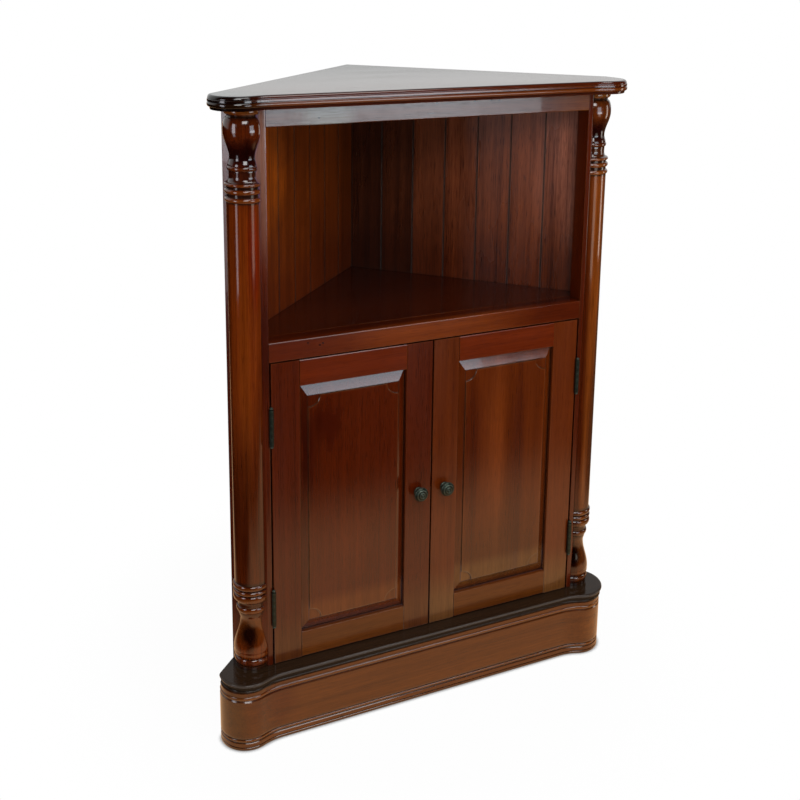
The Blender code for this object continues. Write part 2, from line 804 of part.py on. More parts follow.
def shelf_board(surface):
    """The deck of the open compartment, behind its edge board."""
    front = SHELF_EDGE_T + FIT
    half = [
        (0.0, front),
        (post_x(front, FIT), front),
        wall_and_post(FIT, FIT),
        (0.0, WALL_INNER - FIT * DIAGONAL),
    ]
    outline = half + [(-x, y) for x, y in half[2:0:-1]]
    upright("shelf_board", outline, SHELF_Z - SHELF_T, SHELF_Z, surface)


def cleats(name, top, surface):
    """A pair of bars along the walls, mitred in the back corner, under a board."""
    inner = FIT + CLEAT_W
    for side, end in ((1, "right"), (-1, "left")):
        outline = [
            wall_and_post(FIT, FIT),
            wall_point(FIT, FIT),
            wall_point(inner, FIT),
            wall_and_post(inner, FIT),
        ]
        plan = [(side * x, y) for x, y in outline]
        upright(f"{name}_{end}", plan, top - CLEAT_H, top, surface)


# Doors: places are measured from the hinge axis, towards the other door

def leaf_run(x):
    """How far a place in the opening lies from the hinge axis."""
    return HINGE_X - x


def stile_section(run0, run1, groove_at_end):
    """A stile's plan between two runs: rounded front arrises, and a panel groove on one side."""
    front = -HINGE_Y
    back = front + DOOR_T
    groove_front = front + PANEL_GROOVE_FRONT
    groove_back = groove_front + PANEL_GROOVE_W
    outline = []
    for angle in spread(0.0, math.pi / 2, ARRIS_STEPS):
        run = run0 + ARRIS_R - ARRIS_R * math.cos(angle)
        outline.append((run, front + ARRIS_R - ARRIS_R * math.sin(angle)))
    for angle in spread(0.0, math.pi / 2, ARRIS_STEPS):
        run = run1 - ARRIS_R + ARRIS_R * math.sin(angle)
        outline.append((run, front + ARRIS_R - ARRIS_R * math.cos(angle)))
    if groove_at_end:
        inner = run1 - PANEL_GROOVE_DEPTH
        outline += [(run1, groove_front), (inner, groove_front)]
        outline += [(inner, groove_back), (run1, groove_back)]
        outline += [(run1, back), (run0, back)]
    else:
        inner = run0 + PANEL_GROOVE_DEPTH
        outline += [(run1, back), (run0, back), (run0, groove_back)]
        outline += [(inner, groove_back), (inner, groove_front), (run0, groove_front)]
    return outline


def door_rail(name, side, empty, runs, bottom, top, groove_down, surface):
    """A door rail with the panel's groove, and a tenon at each end for the stiles' grooves."""
    front = -HINGE_Y
    back = front + DOOR_T
    groove_front = front + PANEL_GROOVE_FRONT
    groove_back = groove_front + PANEL_GROOVE_W
    section = []
    for angle in spread(0.0, math.pi / 2, ARRIS_STEPS):
        y = front + ARRIS_R - ARRIS_R * math.cos(angle)
        section.append((y, bottom + ARRIS_R - ARRIS_R * math.sin(angle)))
    floor = [(back, bottom)]
    ceiling = [(back, top)]
    if groove_down:
        inner = bottom + PANEL_GROOVE_DEPTH
        floor = [(groove_front, bottom), (groove_front, inner)]
        floor += [(groove_back, inner), (groove_back, bottom), (back, bottom)]
        tenon_low = inner + FIT
        tenon_high = top - RAIL_TENON_SHOULDER
    else:
        inner = top - PANEL_GROOVE_DEPTH
        ceiling = [(back, top), (groove_back, top), (groove_back, inner)]
        ceiling += [(groove_front, inner), (groove_front, top)]
        tenon_low = bottom + RAIL_TENON_SHOULDER
        tenon_high = inner - FIT
    section += floor + ceiling
    for angle in spread(0.0, math.pi / 2, ARRIS_STEPS):
        y = front + ARRIS_R - ARRIS_R * math.sin(angle)
        section.append((y, top - ARRIS_R + ARRIS_R * math.cos(angle)))
    start, end = runs[0] + FIT, runs[1] - FIT
    body = across(board_mesh(name, [section], end - start), -side * (start + end) / 2)
    rail = helper(name + "_body", body)
    reach = PANEL_TONGUE_L + FIT
    low_x, high_x = sorted((-side * (start - reach), -side * (end + reach)))
    low = (low_x, groove_front + FIT, tenon_low)
    high = (high_x, groove_back - FIT, tenon_high)
    tenon = helper(name + "_tenons", block_mesh(name + "_tenons", low, high))
    combine(rail, tenon, "UNION")
    mesh = shade(evaluated_mesh(name, rail))
    for spare in (rail, tenon):
        bpy.data.objects.remove(spare)
    return piece(name, mesh, surface, empty)


def notched_field(run0, run1, low, high):
    """The raised field's outline, with a quarter round scooped out of each corner."""
    outline = []
    mid_run = (run0 + run1) / 2
    mid_height = (low + high) / 2
    half_w = (run1 - run0) / 2
    half_h = (high - low) / 2
    for turn_x, turn_z in ((-1, -1), (1, -1), (1, 1), (-1, 1)):
        corner = []
        for angle in spread(math.pi / 2, 0.0, PANEL_NOTCH_STEPS):
            x = half_w - PANEL_NOTCH_W * math.cos(angle)
            z = half_h - PANEL_NOTCH_H * math.sin(angle)
            corner.append((x, z))
        if turn_x * turn_z < 0:
            corner.reverse()
        outline += [(mid_run + turn_x * x, mid_height + turn_z * z) for x, z in corner]
    return outline


def door_panel(name, side, empty, runs, bottom, top, surface):
    """A raised panel: a tongue in the frame's grooves, a bevel, a step and a notched field."""
    front = -HINGE_Y
    tongue_front = front + PANEL_GROOVE_FRONT + FIT
    tongue_back = front + PANEL_GROOVE_FRONT + PANEL_GROOVE_W - FIT
    shelf_y = front + PANEL_FIELD_DEPTH + PANEL_STEP
    frames = (
        (-PANEL_TONGUE_L, -PANEL_TONGUE_L, -PANEL_TONGUE_L, tongue_back),
        (-PANEL_TONGUE_L, -PANEL_TONGUE_L, -PANEL_TONGUE_L, tongue_front),
        (FIT, FIT, FIT, tongue_front),
        (PANEL_SIDE_MARGIN, PANEL_BOTTOM_MARGIN, PANEL_TOP_MARGIN, shelf_y),
    )
    rings = []
    for sides, below, above, depth in frames:
        left, right = -side * (runs[0] + sides), -side * (runs[1] - sides)
        low, high = bottom + below, top - above
        corners = ((left, low), (right, low), (right, high), (left, high))
        rings.append([(x, depth, z) for x, z in corners])
    base = helper(name + "_base", loft_mesh(name + "_base", rings))
    ledge = PANEL_STEP_LEDGE
    field = notched_field(
        runs[0] + PANEL_SIDE_MARGIN + ledge,
        runs[1] - PANEL_SIDE_MARGIN - ledge,
        bottom + PANEL_BOTTOM_MARGIN + ledge,
        top - PANEL_TOP_MARGIN - ledge,
    )
    plan = [(-side * x, z) for x, z in field]
    thickness = PANEL_STEP + OVERRUN
    depth = front + PANEL_FIELD_DEPTH + thickness / 2
    raised = helper(
        name + "_field",
        board_mesh(name + "_field", [plan], thickness),
        (0.0, depth, 0.0),
        (math.radians(90), 0.0, 0.0),
    )
    combine(base, raised, "UNION")
    mesh = evaluated_mesh(name, base)
    for spare in (base, raised):
        bpy.data.objects.remove(spare)
    return piece(name, mesh, surface, empty)


def knob_profile():
    """(radius, height) of a knob, from the top of its button down to its rose."""
    rose_top = KNOB_ROSE_T
    neck_top = rose_top + KNOB_NECK_L
    rim_top = neck_top + KNOB_RIM_T
    dome_top = rim_top + KNOB_DOME_H
    points = [(0.0, dome_top + KNOB_BUTTON_H)]
    for angle in spread(math.pi / 2, 0.0, ARRIS_STEPS)[1:]:
        points.append((KNOB_BUTTON_R * math.cos(angle), dome_top + KNOB_BUTTON_H * math.sin(angle)))
    for angle in spread(0.0, math.pi / 2, MOULD_STEPS):
        radius = KNOB_BUTTON_R + (KNOB_SHOULDER_R - KNOB_BUTTON_R) * math.sin(angle)
        points.append((radius, rim_top + KNOB_DOME_H * math.cos(angle)))
    points += bulge(rim_top, neck_top, KNOB_SHOULDER_R, KNOB_HEAD_R)[1:]
    points.append((KNOB_NECK_R, neck_top))
    points.append((KNOB_NECK_R, rose_top))
    points.append((KNOB_ROSE_R, rose_top))
    points.append((KNOB_ROSE_R, FIT))
    points.append((KNOB_SCREW_R + FIT, FIT))
    points.append((KNOB_SCREW_R + FIT, KNOB_BORE_L))
    points.append((0.0, KNOB_BORE_L))
    return points


def knob_screw_profile():
    """(radius, height) of a knob's screw, from its tip in the knob down to its head."""
    back = -DOOR_T - FIT
    return [
        (0.0, KNOB_SCREW_REACH),
        (KNOB_SCREW_R, KNOB_SCREW_REACH),
        (KNOB_SCREW_R, back),
        (KNOB_SCREW_HEAD_R, back),
        (KNOB_SCREW_HEAD_R, back - KNOB_SCREW_HEAD_T / 2),
        (KNOB_SCREW_R, back - KNOB_SCREW_HEAD_T),
        (0.0, back - KNOB_SCREW_HEAD_T),
    ]


def door(side, label, empty, surfaces):
    """One door: its frame, raised panel, knob, screw and strike plate."""
    wood, bronze, steel = surfaces
    front = -HINGE_Y
    outer = leaf_run(DOOR_OUTER_X)
    inner = leaf_run(DOOR_INNER_X)
    runs = (outer + STILE_W, inner - STILE_W)
    panel_low = DOOR_Z0 + DOOR_BOTTOM_RAIL_H
    panel_high = DOOR_Z1 - DOOR_TOP_RAIL_H
    knob_at = (-side * leaf_run(KNOB_X), front, KNOB_Z)
    outwards = (math.radians(90), 0.0, 0.0)

    for name, run0, run1, at_end in (
        ("hinge_stile", outer, runs[0], True),
        ("meeting_stile", runs[1], inner, False),
    ):
        section = stile_section(run0, run1, at_end)
        plan = [(-side * run, y) for run, y in section]
        stile = upright(f"{label}_{name}", plan, DOOR_Z0, DOOR_Z1, wood, empty)
        shade(stile.data)
        if not at_end:
            bore = helper(
                f"{label}_knob_bore",
                cylinder_mesh("bore", KNOB_SCREW_R + FIT, 2 * (DOOR_T + OVERRUN), SCREW_SEGMENTS),
                (knob_at[0], knob_at[1] + DOOR_T / 2, KNOB_Z - (DOOR_Z0 + DOOR_Z1) / 2),
                outwards,
            )
            bore.parent = stile
            combine(stile, bore, "DIFFERENCE")

    door_rail(f"{label}_top_rail", side, empty, runs, panel_high, DOOR_Z1, True, wood)
    door_rail(f"{label}_bottom_rail", side, empty, runs, DOOR_Z0, panel_low, False, wood)
    door_panel(f"{label}_panel", side, empty, runs, panel_low, panel_high, wood)

    knob = turned_mesh(f"{label}_knob", knob_profile(), KNOB_SEGMENTS)
    piece(f"{label}_knob", knob, bronze, empty, knob_at, outwards)
    screw = turned_mesh(f"{label}_knob_screw", knob_screw_profile(), SCREW_SEGMENTS)
    piece(f"{label}_knob_screw", screw, steel, empty, knob_at, outwards)

    strike_back = front + DOOR_T + FIT
    strike_near = DOOR_INNER_X + STRIKE_INSET
    strike_x = sorted(-side * leaf_run(x) for x in (strike_near, strike_near + STRIKE_W))
    strike_top = DOOR_Z1 - STRIKE_DROP
    low = (strike_x[0], strike_back, strike_top - STRIKE_H)
    high = (strike_x[1], strike_back + STRIKE_T, strike_top)
    piece(f"{label}_strike", block_mesh(f"{label}_strike", low, high), steel, empty)


# Hinges: plan places are measured from the pin

def ring_points(radius, segments):
    """A circle of points about the pin."""
    turns = [2 * math.pi * index / segments for index in range(segments)]
    return [(radius * math.cos(turn), radius * math.sin(turn)) for turn in turns]


def hinge_leaf_mesh(name, side, on_frame):
    """A leaf with its knuckles: the frame's carries the odd ones and the door's the even ones."""
    pitch = HINGE_L / HINGE_KNUCKLES
    inner_face = DOOR_SIDE_GAP / 2 - FIT
    towards = side if on_frame else -side
    near = towards * (inner_face - HINGE_LEAF_T)
    far = towards * inner_face
    low_x, high_x = sorted((near, far))
    plate_front = HINGE_BARREL_R + FIT
    plate_low = (low_x, plate_front, -HINGE_L / 2)
    plate_high = (high_x, plate_front + HINGE_LEAF_W, HINGE_L / 2)
    leaf = helper(name, block_mesh(name, plate_low, plate_high))
    spares = [leaf]
    first = 0 if on_frame else 1
    for index in range(first, HINGE_KNUCKLES, 2):
        low_z = -HINGE_L / 2 + index * pitch
        high_z = low_z + pitch
        if index > 0:
            low_z += FIT / 2
        if index < HINGE_KNUCKLES - 1:
            high_z -= FIT / 2
        tab_low = (low_x, HINGE_TAB_START, low_z)
        tab_high = (high_x, plate_front + OVERRUN, high_z)
        tab = helper(f"{name}_tab_{index}", block_mesh("tab", tab_low, tab_high))
        circles = [ring_points(radius, HINGE_SEGMENTS) for radius in (HINGE_BARREL_R, HINGE_BORE_R)]
        knuckle = helper(
            f"{name}_knuckle_{index}",
            board_mesh("knuckle", circles, high_z - low_z),
            (0.0, 0.0, (low_z + high_z) / 2),
        )
        combine(leaf, knuckle, "UNION")
        combine(leaf, tab, "UNION")
        spares += [tab, knuckle]
    mesh = shade(evaluated_mesh(name, leaf))
    for spare in spares:
        bpy.data.objects.remove(spare)
    return mesh


def hinge_pin_profile():
    """(radius, height) of a pin with a ball at each end, from the top down."""
    seat = HINGE_L / 2 + FIT
    upper = []
    for angle in spread(math.pi / 2, -math.pi / 2, 2 * ARRIS_STEPS):
        radius = FINIAL_R * math.cos(angle)
        upper.append((max(radius, 0.0), seat + FINIAL_H / 2 + FINIAL_H / 2 * math.sin(angle)))
    upper[0] = (0.0, seat + FINIAL_H)
    upper[-1] = (HINGE_PIN_R, seat)
    lower = [(radius, -height) for radius, height in reversed(upper)]
    return upper + lower


def hinges(side, label, empty, bronze):
    """The two butt hinges of one door."""
    frame_leaf = hinge_leaf_mesh(f"{label}_frame_leaf", side, True)
    door_leaf = hinge_leaf_mesh(f"{label}_door_leaf", side, False)
    pin = turned_mesh(f"{label}_pin", hinge_pin_profile(), HINGE_SEGMENTS)
    for name, height in (("upper", UPPER_HINGE_Z), ("lower", LOWER_HINGE_Z)):
        place = (side * HINGE_X, HINGE_Y, height)
        piece(f"{label}_{name}_hinge_frame_leaf", frame_leaf, bronze, ROOT, place)
        piece(f"{label}_{name}_hinge_pin", pin, bronze, ROOT, place)
        piece(f"{label}_{name}_hinge_door_leaf", door_leaf, bronze, empty, (0.0, 0.0, height))


def catch(surface):
    """A double magnetic catch behind the doors, under the shelf's edge board."""
    front = DOOR_T + FIT + STRIKE_T + FIT
    top = SHELF_EDGE_Z - FIT
    low = (-CATCH_W / 2, front, top - CATCH_H)
    high = (CATCH_W / 2, front + CATCH_T, top)
    piece("magnetic_catch", block_mesh("magnetic_catch", low, high), surface)


def main():
    """Builds every piece of the cabinet."""
    mahogany = material("mahogany", MAHOGANY, 0.22)
    top_wood = material("top_mahogany", MAHOGANY, 0.16)
    dark_wood = material("dark_stained_wood", DARK_WALNUT, 0.20)
    skirt_wood = material("skirt_wood", SKIRT_BROWN, 0.26)
    deal = material("plain_deal", PLAIN_DEAL, 0.60)
    bronze = material("dark_bronze", DARK_BRONZE, 0.38, 1.0)
    steel = material("bright_steel", BRIGHT_STEEL, 0.30, 1.0)
    wall_woods = {
        1: material("dark_planks", DARK_PLANK, 0.30),
        -1: material("golden_planks", GOLDEN_PLANK, 0.30),
    }

    moulded_board("top_board", top_profile(), TOP_EDGE, top_wood)
    moulded_board("floor_board", cap_profile(), CAP_EDGE, dark_wood)
    plinth_front(skirt_wood)
    plinth_sides(skirt_wood)
    posts(mahogany)
    columns(mahogany)
    walls(wall_woods)

    half_board = HALF_OPENING - FIT
    rounded_board("top_rail", half_board, TOP_RAIL_T, TOP_RAIL_Z, TOP_Z - FIT, mahogany)
    rounded_board("shelf_edge", half_board, SHELF_EDGE_T, SHELF_EDGE_Z, SHELF_Z, mahogany)
    shelf_board(mahogany)
    cleats("top_cleat", TOP_Z - FIT, deal)
    cleats("shelf_cleat", SHELF_Z - SHELF_T - FIT, deal)
    catch(dark_wood)

    for side, label in ((1, "right_door"), (-1, "left_door")):
        empty = hinge_empty(f"{label}_axis", side)
        door(side, label, empty, (mahogany, bronze, steel))
        hinges(side, label, empty, bronze)


main()
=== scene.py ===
"""Looks of a corner cabinet in lacquered mahogany, dressed over its fixed construction frame.

Metres, +Z up, doors towards -Y. Sizes repeat those of the construction. They are given in the
cabinet's own frame, which is centred on the opening with y = 0 at the faces of the doors, and
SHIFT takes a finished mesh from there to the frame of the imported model.
"""
import logging
import math
from dataclasses import dataclass, replace
from enum import Enum
from typing import Any, ClassVar, Sequence

import bmesh
import bpy
from mathutils import Euler, Matrix, Vector


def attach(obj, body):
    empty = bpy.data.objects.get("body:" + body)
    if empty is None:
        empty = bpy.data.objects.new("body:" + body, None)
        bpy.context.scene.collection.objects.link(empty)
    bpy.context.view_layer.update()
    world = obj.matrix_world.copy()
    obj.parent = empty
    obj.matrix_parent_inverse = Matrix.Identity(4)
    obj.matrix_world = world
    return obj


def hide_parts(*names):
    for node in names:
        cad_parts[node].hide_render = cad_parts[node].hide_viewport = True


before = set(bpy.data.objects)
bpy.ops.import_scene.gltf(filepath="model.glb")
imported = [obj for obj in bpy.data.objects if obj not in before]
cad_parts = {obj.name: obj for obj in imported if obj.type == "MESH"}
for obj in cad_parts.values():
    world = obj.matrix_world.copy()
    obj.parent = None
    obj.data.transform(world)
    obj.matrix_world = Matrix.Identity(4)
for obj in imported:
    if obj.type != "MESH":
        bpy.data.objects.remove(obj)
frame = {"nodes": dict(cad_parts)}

LOG = logging.getLogger("corner_cabinet")
SHIFT = Vector((0.0065, -0.183503, 0.0))
FIT = 0.0003
WELD = 0.000005
ROUND_ANGLE = 40.0
FLAT_ANGLE = 18.0
ROOT2 = math.sqrt(2.0)
# The name of the point attribute that tints relief: below zero it darkens hollows with glazing and painted
# shade, above zero it lightens crests with rubbing and a painted highlight.
GLAZE_AND_PAINTED_LIGHT = "glaze"
BOARD = "board"
FLOAT, COLOUR, VECTOR = "NodeSocketFloat", "NodeSocketColor", "NodeSocketVector"
COUNT, FINISH, GEOMETRY = "NodeSocketInt", "NodeSocketMaterial", "NodeSocketGeometry"

Colour = tuple[float, float, float]
Point = tuple[float, float, float]
ProfilePoint = tuple[float, float, float]
Plan = list[tuple[float, float]]
Shape = bmesh.types.BMesh


class Grain(Enum):
    """The direction in which the grain of a piece runs."""

    UPRIGHT = (0.0, 0.0, 1.0)
    ACROSS = (1.0, 0.0, 0.0)
    RIGHT_WALL = (1.0, -1.0, 0.0)
    LEFT_WALL = (1.0, 1.0, 0.0)

    def turn(self) -> Euler:
        """The rotation that brings this direction to Z."""
        return Vector(self.value).normalized().rotation_difference(Vector((0.0, 0.0, 1.0))).to_euler()


class Side(Enum):
    """The two sides of the cabinet, as the sign of x."""

    RIGHT = 1
    LEFT = -1

    @property
    def word(self) -> str:
        """The side's word in the names of nodes."""
        return self.name.lower()

    @property
    def door(self) -> str:
        """The body of the side's door, and the start of its nodes' names."""
        return f"{self.word}_door"


# Node trees

class Wiring:
    """Places and links the nodes of one shader or geometry tree."""

    def __init__(self, tree: bpy.types.NodeTree) -> None:
        """Keeps the tree that the nodes go into."""
        self.tree = tree

    def add(self, kind: str, inputs: dict[Any, Any] | None = None, **settings: Any) -> bpy.types.Node:
        """Adds a node.

        Args:
            kind: The node's type.
            inputs: Values or sockets by input name or number.
            settings: The node's own properties.

        Returns:
            The new node.
        """
        node = self.tree.nodes.new(kind)
        for name, value in settings.items():
            setattr(node, name, value)
        for key, value in (inputs or {}).items():
            self.feed(node.inputs[key], value)
        return node

    def feed(self, socket: bpy.types.NodeSocket, value: Any) -> None:
        """Links a socket or sets its value.

        Args:
            socket: The input to feed.
            value: Another node's output, or a plain value.
        """
        if isinstance(value, bpy.types.NodeSocket):
            self.tree.links.new(value, socket)
        elif isinstance(value, tuple) and len(value) == 3 and socket.type == "RGBA":
            socket.default_value = (*value, 1.0)
        else:
            socket.default_value = value

    def sum(
        self, operation: str, first: Any, second: Any = 0.0, third: Any = 0.0, clamp: bool = False
    ) -> Any:
        """The result of one Math node."""
        inputs = {0: first, 1: second, 2: third}
        return self.add("ShaderNodeMath", inputs, operation=operation, use_clamp=clamp).outputs[0]

    def around(self, value: Any, factor: Any) -> Any:
        """How far a value lies from 0.5, times a factor."""
        return self.sum("MULTIPLY", self.sum("SUBTRACT", value, 0.5), factor)

    def vector(self, operation: str, first: Any, second: Any = (0.0, 0.0, 0.0)) -> Any:
        """The result of one Vector Math node."""
        node = self.add("ShaderNodeVectorMath", {0: first, 1: second}, operation=operation)
        return node.outputs["Value" if operation in ("LENGTH", "DOT_PRODUCT") else "Vector"]

    def noise(self, vector: Any, cells: Point, detail: float, roughness: float = 0.55) -> Any:
        """A noise stretched along the axes.

        Args:
            vector: The socket of the place.
            cells: Noise cells in a metre along X, Y and Z.
            detail: The noise's detail.
            roughness: The noise's roughness.

        Returns:
            The socket of the value, about 0.5 on average.
        """
        place = self.vector("MULTIPLY", vector, cells)
        inputs = {"Vector": place, "Scale": 1.0, "Detail": detail, "Roughness": roughness}
        return self.add("ShaderNodeTexNoise", inputs).outputs["Fac"]

    def ramp(self, value: Any, low: float, high: float, start: float = 0.0, end: float = 1.0) -> Any:
        """A value's soft and clamped way from start, at low, to end, at high."""
        inputs = {0: value, 1: low, 2: high, 3: start, 4: end}
        return self.add("ShaderNodeMapRange", inputs, interpolation_type="SMOOTHSTEP").outputs[0]

    def blend(self, share: Any, first: Any, second: Any, blend_type: str = "MIX") -> Any:
        """Two colours mixed, with the second colour's share first."""
        inputs = {0: share, 6: first, 7: second}
        return self.add("ShaderNodeMix", inputs, data_type="RGBA", blend_type=blend_type).outputs[2]

    def attribute(self, name: str) -> Any:
        """The value of an attribute of the mesh."""
        return self.add("ShaderNodeAttribute", attribute_name=name, attribute_type="GEOMETRY").outputs["Fac"]

    def openness(self, reach: float, samples: int) -> Any:
        """How open a place is to the air within a reach."""
        return self.add("ShaderNodeAmbientOcclusion", {"Distance": reach}, samples=samples).outputs["AO"]

    def bump(self, height: Any, strength: float, depth: float) -> Any:
        """The normal of a surface with a relief."""
        inputs = {"Strength": strength, "Distance": depth, "Height": height}
        return self.add("ShaderNodeBump", inputs).outputs[0]

    def spots(self) -> Any:
        """The place on the mesh that is shaded."""
        return self.add("ShaderNodeTexCoord").outputs["Object"]

    def glow(self, colour: Colour, strength: Any) -> Any:
        """A shader that gives light."""
        return self.add("ShaderNodeEmission", {"Color": colour, "Strength": strength}).outputs[0]


def new_group(name: str, inputs: dict[str, str], outputs: dict[str, str]) -> tuple[Wiring, Any, Any]:
    """Starts a shader node group.

    Args:
        name: The group's name.
        inputs: Socket type by input name.
        outputs: Socket type by output name.

    Returns:
        The group's wiring, its input node's outputs and its output node's inputs.
    """
    tree = bpy.data.node_groups.new(name, "ShaderNodeTree")
    for way, sockets in (("INPUT", inputs), ("OUTPUT", outputs)):
        for label, kind in sockets.items():
            tree.interface.new_socket(label, in_out=way, socket_type=kind)
    wiring = Wiring(tree)
    return wiring, wiring.add("NodeGroupInput").outputs, wiring.add("NodeGroupOutput").inputs


def new_material(name: str) -> tuple[bpy.types.Material, Wiring, Any]:
    """Starts a material.

    Args:
        name: The material's name.

    Returns:
        The material, its wiring and its shader's inputs.
    """
    surface = bpy.data.materials.new(name)
    surface.use_nodes = True
    return surface, Wiring(surface.node_tree), surface.node_tree.nodes["Principled BSDF"].inputs


class FinishGroups:
    """The shader groups that the finishes share, each built once.

    The names in capitals are noise cells in a metre, with the grain along Z, then colours and lengths.
    """

    WANDER: ClassVar[Point] = (7.0, 7.0, 1.6)
    BANDS: ClassVar[Point] = (58.0, 58.0, 1.0)
    FIBRES: ClassVar[Point] = (430.0, 430.0, 8.0)
    MOTTLE: ClassVar[Point] = (11.0, 11.0, 2.6)
    PORES: ClassVar[Point] = (1500.0, 1500.0, 42.0)
    RUBBING: ClassVar[Point] = (60.0, 60.0, 60.0)
    PATINA: ClassVar[Point] = (260.0, 260.0, 260.0)
    SEED_STEP: ClassVar[Point] = (1.7, 3.1, 0.9)
    PORE_TINT: ClassVar[Colour] = (0.30, 0.24, 0.22)
    # The colour of glazing and painted shade in hollows.
    GLAZE_AND_SHADE_COLOUR: ClassVar[Colour] = (0.010, 0.006, 0.004)
    # Painted shade in corners and recesses: its colour and how far it reaches.
    CORNER_SHADE_COLOUR: ClassVar[Colour] = (0.012, 0.006, 0.004)
    CORNER_SHADE_REACH: ClassVar[float] = 0.008
    ARRIS_RADIUS: ClassVar[float] = 0.0012
    SWAY: ClassVar[float] = 0.022

    def __init__(self) -> None:
        """Builds the groups."""
        self.grain = self.build_grain()
        self.glaze = self.build_glaze()
        self.age = self.build_age()
        self.patina = self.build_patina()
        self.patch = self.build_patch()

    def build_grain(self) -> bpy.types.NodeTree:
        """Mahogany with its grain along Z: growth bands, fibres, pores and a soft mottle.

        Returns:
            The group.
        """
        wiring, given, result = new_group(
            "wood_grain",
            {
                "Vector": VECTOR, "Light": COLOUR, "Dark": COLOUR, "Figure": FLOAT, "Pores": FLOAT,
                "Seed": FLOAT,
            },
            {"Color": COLOUR, "Height": FLOAT, "Mottle": FLOAT},
        )
        seed, figure = given["Seed"], given["Figure"]
        offset = wiring.add("ShaderNodeCombineXYZ", {0: seed, 1: seed, 2: seed}).outputs[0]
        place = wiring.vector("ADD", wiring.vector("MULTIPLY", offset, self.SEED_STEP), given["Vector"])
        wander = wiring.noise(place, self.WANDER, 2.0)
        drift = wiring.around(wander, wiring.sum("MULTIPLY", figure, self.SWAY))
        sway = wiring.add("ShaderNodeCombineXYZ", {0: drift, 1: drift, 2: 0.0}).outputs[0]
        along = wiring.vector("ADD", place, sway)
        fibres = wiring.noise(along, self.FIBRES, 2.0, 0.6)
        mottle = wiring.noise(place, self.MOTTLE, 3.0, 0.6)
        pores = wiring.ramp(wiring.noise(along, self.PORES, 0.0), 0.60, 0.74)
        broad = wiring.around(wiring.noise(along, self.BANDS, 5.0, 0.62), 1.9)
        cloud = wiring.around(mottle, 0.6)
        fine = wiring.around(fibres, wiring.sum("MULTIPLY_ADD", figure, 1.7, 0.25))
        spread = wiring.sum("MULTIPLY", wiring.sum("ADD", broad, cloud), wiring.sum("ADD", figure, 0.35))
        tone = wiring.sum("ADD", wiring.sum("ADD", spread, fine), 0.5, clamp=True)
        plain = wiring.blend(tone, given["Dark"], given["Light"])
        filled = wiring.sum("MULTIPLY", pores, given["Pores"])
        wiring.feed(result["Color"], wiring.blend(filled, plain, self.PORE_TINT, "MULTIPLY"))
        wiring.feed(result["Height"], wiring.sum("SUBTRACT", fibres, wiring.sum("MULTIPLY", filled, 0.8)))
        wiring.feed(result["Mottle"], mottle)
        return wiring.tree

    def build_glaze(self) -> bpy.types.NodeTree:
        """Dark glazing and painted shade in hollows, and rubbed crests with a painted highlight, from the
        piece's attribute of glazing and painted light.

        Returns:
            The group.
        """
        wiring, given, result = new_group(
            "glaze_and_rub", {"Color": COLOUR, "Rub": COLOUR}, {"Color": COLOUR, "Hollow": FLOAT}
        )
        amount = wiring.attribute(GLAZE_AND_PAINTED_LIGHT)
        hollow = wiring.sum("MULTIPLY", amount, -1.0, clamp=True)
        crest = wiring.sum("MULTIPLY", amount, 1.0, clamp=True)
        dark = wiring.blend(hollow, given["Color"], self.GLAZE_AND_SHADE_COLOUR)
        wiring.feed(result["Color"], wiring.blend(crest, dark, given["Rub"]))
        wiring.feed(result["Hollow"], hollow)
        return wiring.tree

    def build_age(self) -> bpy.types.NodeTree:
        """Rubbed arrises, and a painted shade that darkens corners and recesses.

        Returns:
            The group.
        """
        wiring, given, result = new_group(
            "arris_wear_and_dark_corners",
            {"Color": COLOUR, "Rub": COLOUR, "Wear": FLOAT, "Corners": FLOAT},
            {"Color": COLOUR},
        )
        rounded = wiring.add("ShaderNodeBevel", {"Radius": self.ARRIS_RADIUS}, samples=4).outputs[0]
        normal = wiring.add("ShaderNodeNewGeometry").outputs["Normal"]
        facing = wiring.vector("DOT_PRODUCT", rounded, normal)
        patchy = wiring.ramp(wiring.noise(wiring.spots(), self.RUBBING, 3.0), 0.35, 0.65, 0.3, 1.0)
        wear = wiring.sum("MULTIPLY", patchy, given["Wear"])
        arris = wiring.sum("MULTIPLY", wiring.ramp(facing, 0.998, 0.90), wear)
        # Painted shade: the colour darkens where little is open around a point, in corners and recesses.
        closed = wiring.ramp(wiring.openness(self.CORNER_SHADE_REACH, 6), 0.78, 0.30)
        corner = wiring.sum("MULTIPLY", closed, given["Corners"])
        worn = wiring.blend(arris, given["Color"], given["Rub"])
        wiring.feed(result["Color"], wiring.blend(corner, worn, self.CORNER_SHADE_COLOUR))
        return wiring.tree

    def build_patina(self) -> bpy.types.NodeTree:
        """Dark bronze with green-grey patina in its hollows and brighter metal on its crests.

        Returns:
            The group.
        """
        wiring, given, result = new_group(
            "bronze_patina",
            {"Vector": VECTOR, "Metal": COLOUR, "Patina": COLOUR, "Bright": COLOUR},
            {"Color": COLOUR, "Roughness": FLOAT, "Height": FLOAT},
        )
        cloud = wiring.noise(given["Vector"], self.PATINA, 4.0, 0.65)
        crest = wiring.sum("MULTIPLY", wiring.attribute(GLAZE_AND_PAINTED_LIGHT), 0.8, clamp=True)
        coated = wiring.blend(wiring.ramp(cloud, 0.40, 0.62), given["Metal"], given["Patina"])
        wiring.feed(result["Color"], wiring.blend(crest, coated, given["Bright"]))
        wiring.feed(result["Roughness"], wiring.ramp(cloud, 0.3, 0.7, 0.34, 0.52))
        wiring.feed(result["Height"], cloud)
        return wiring.tree

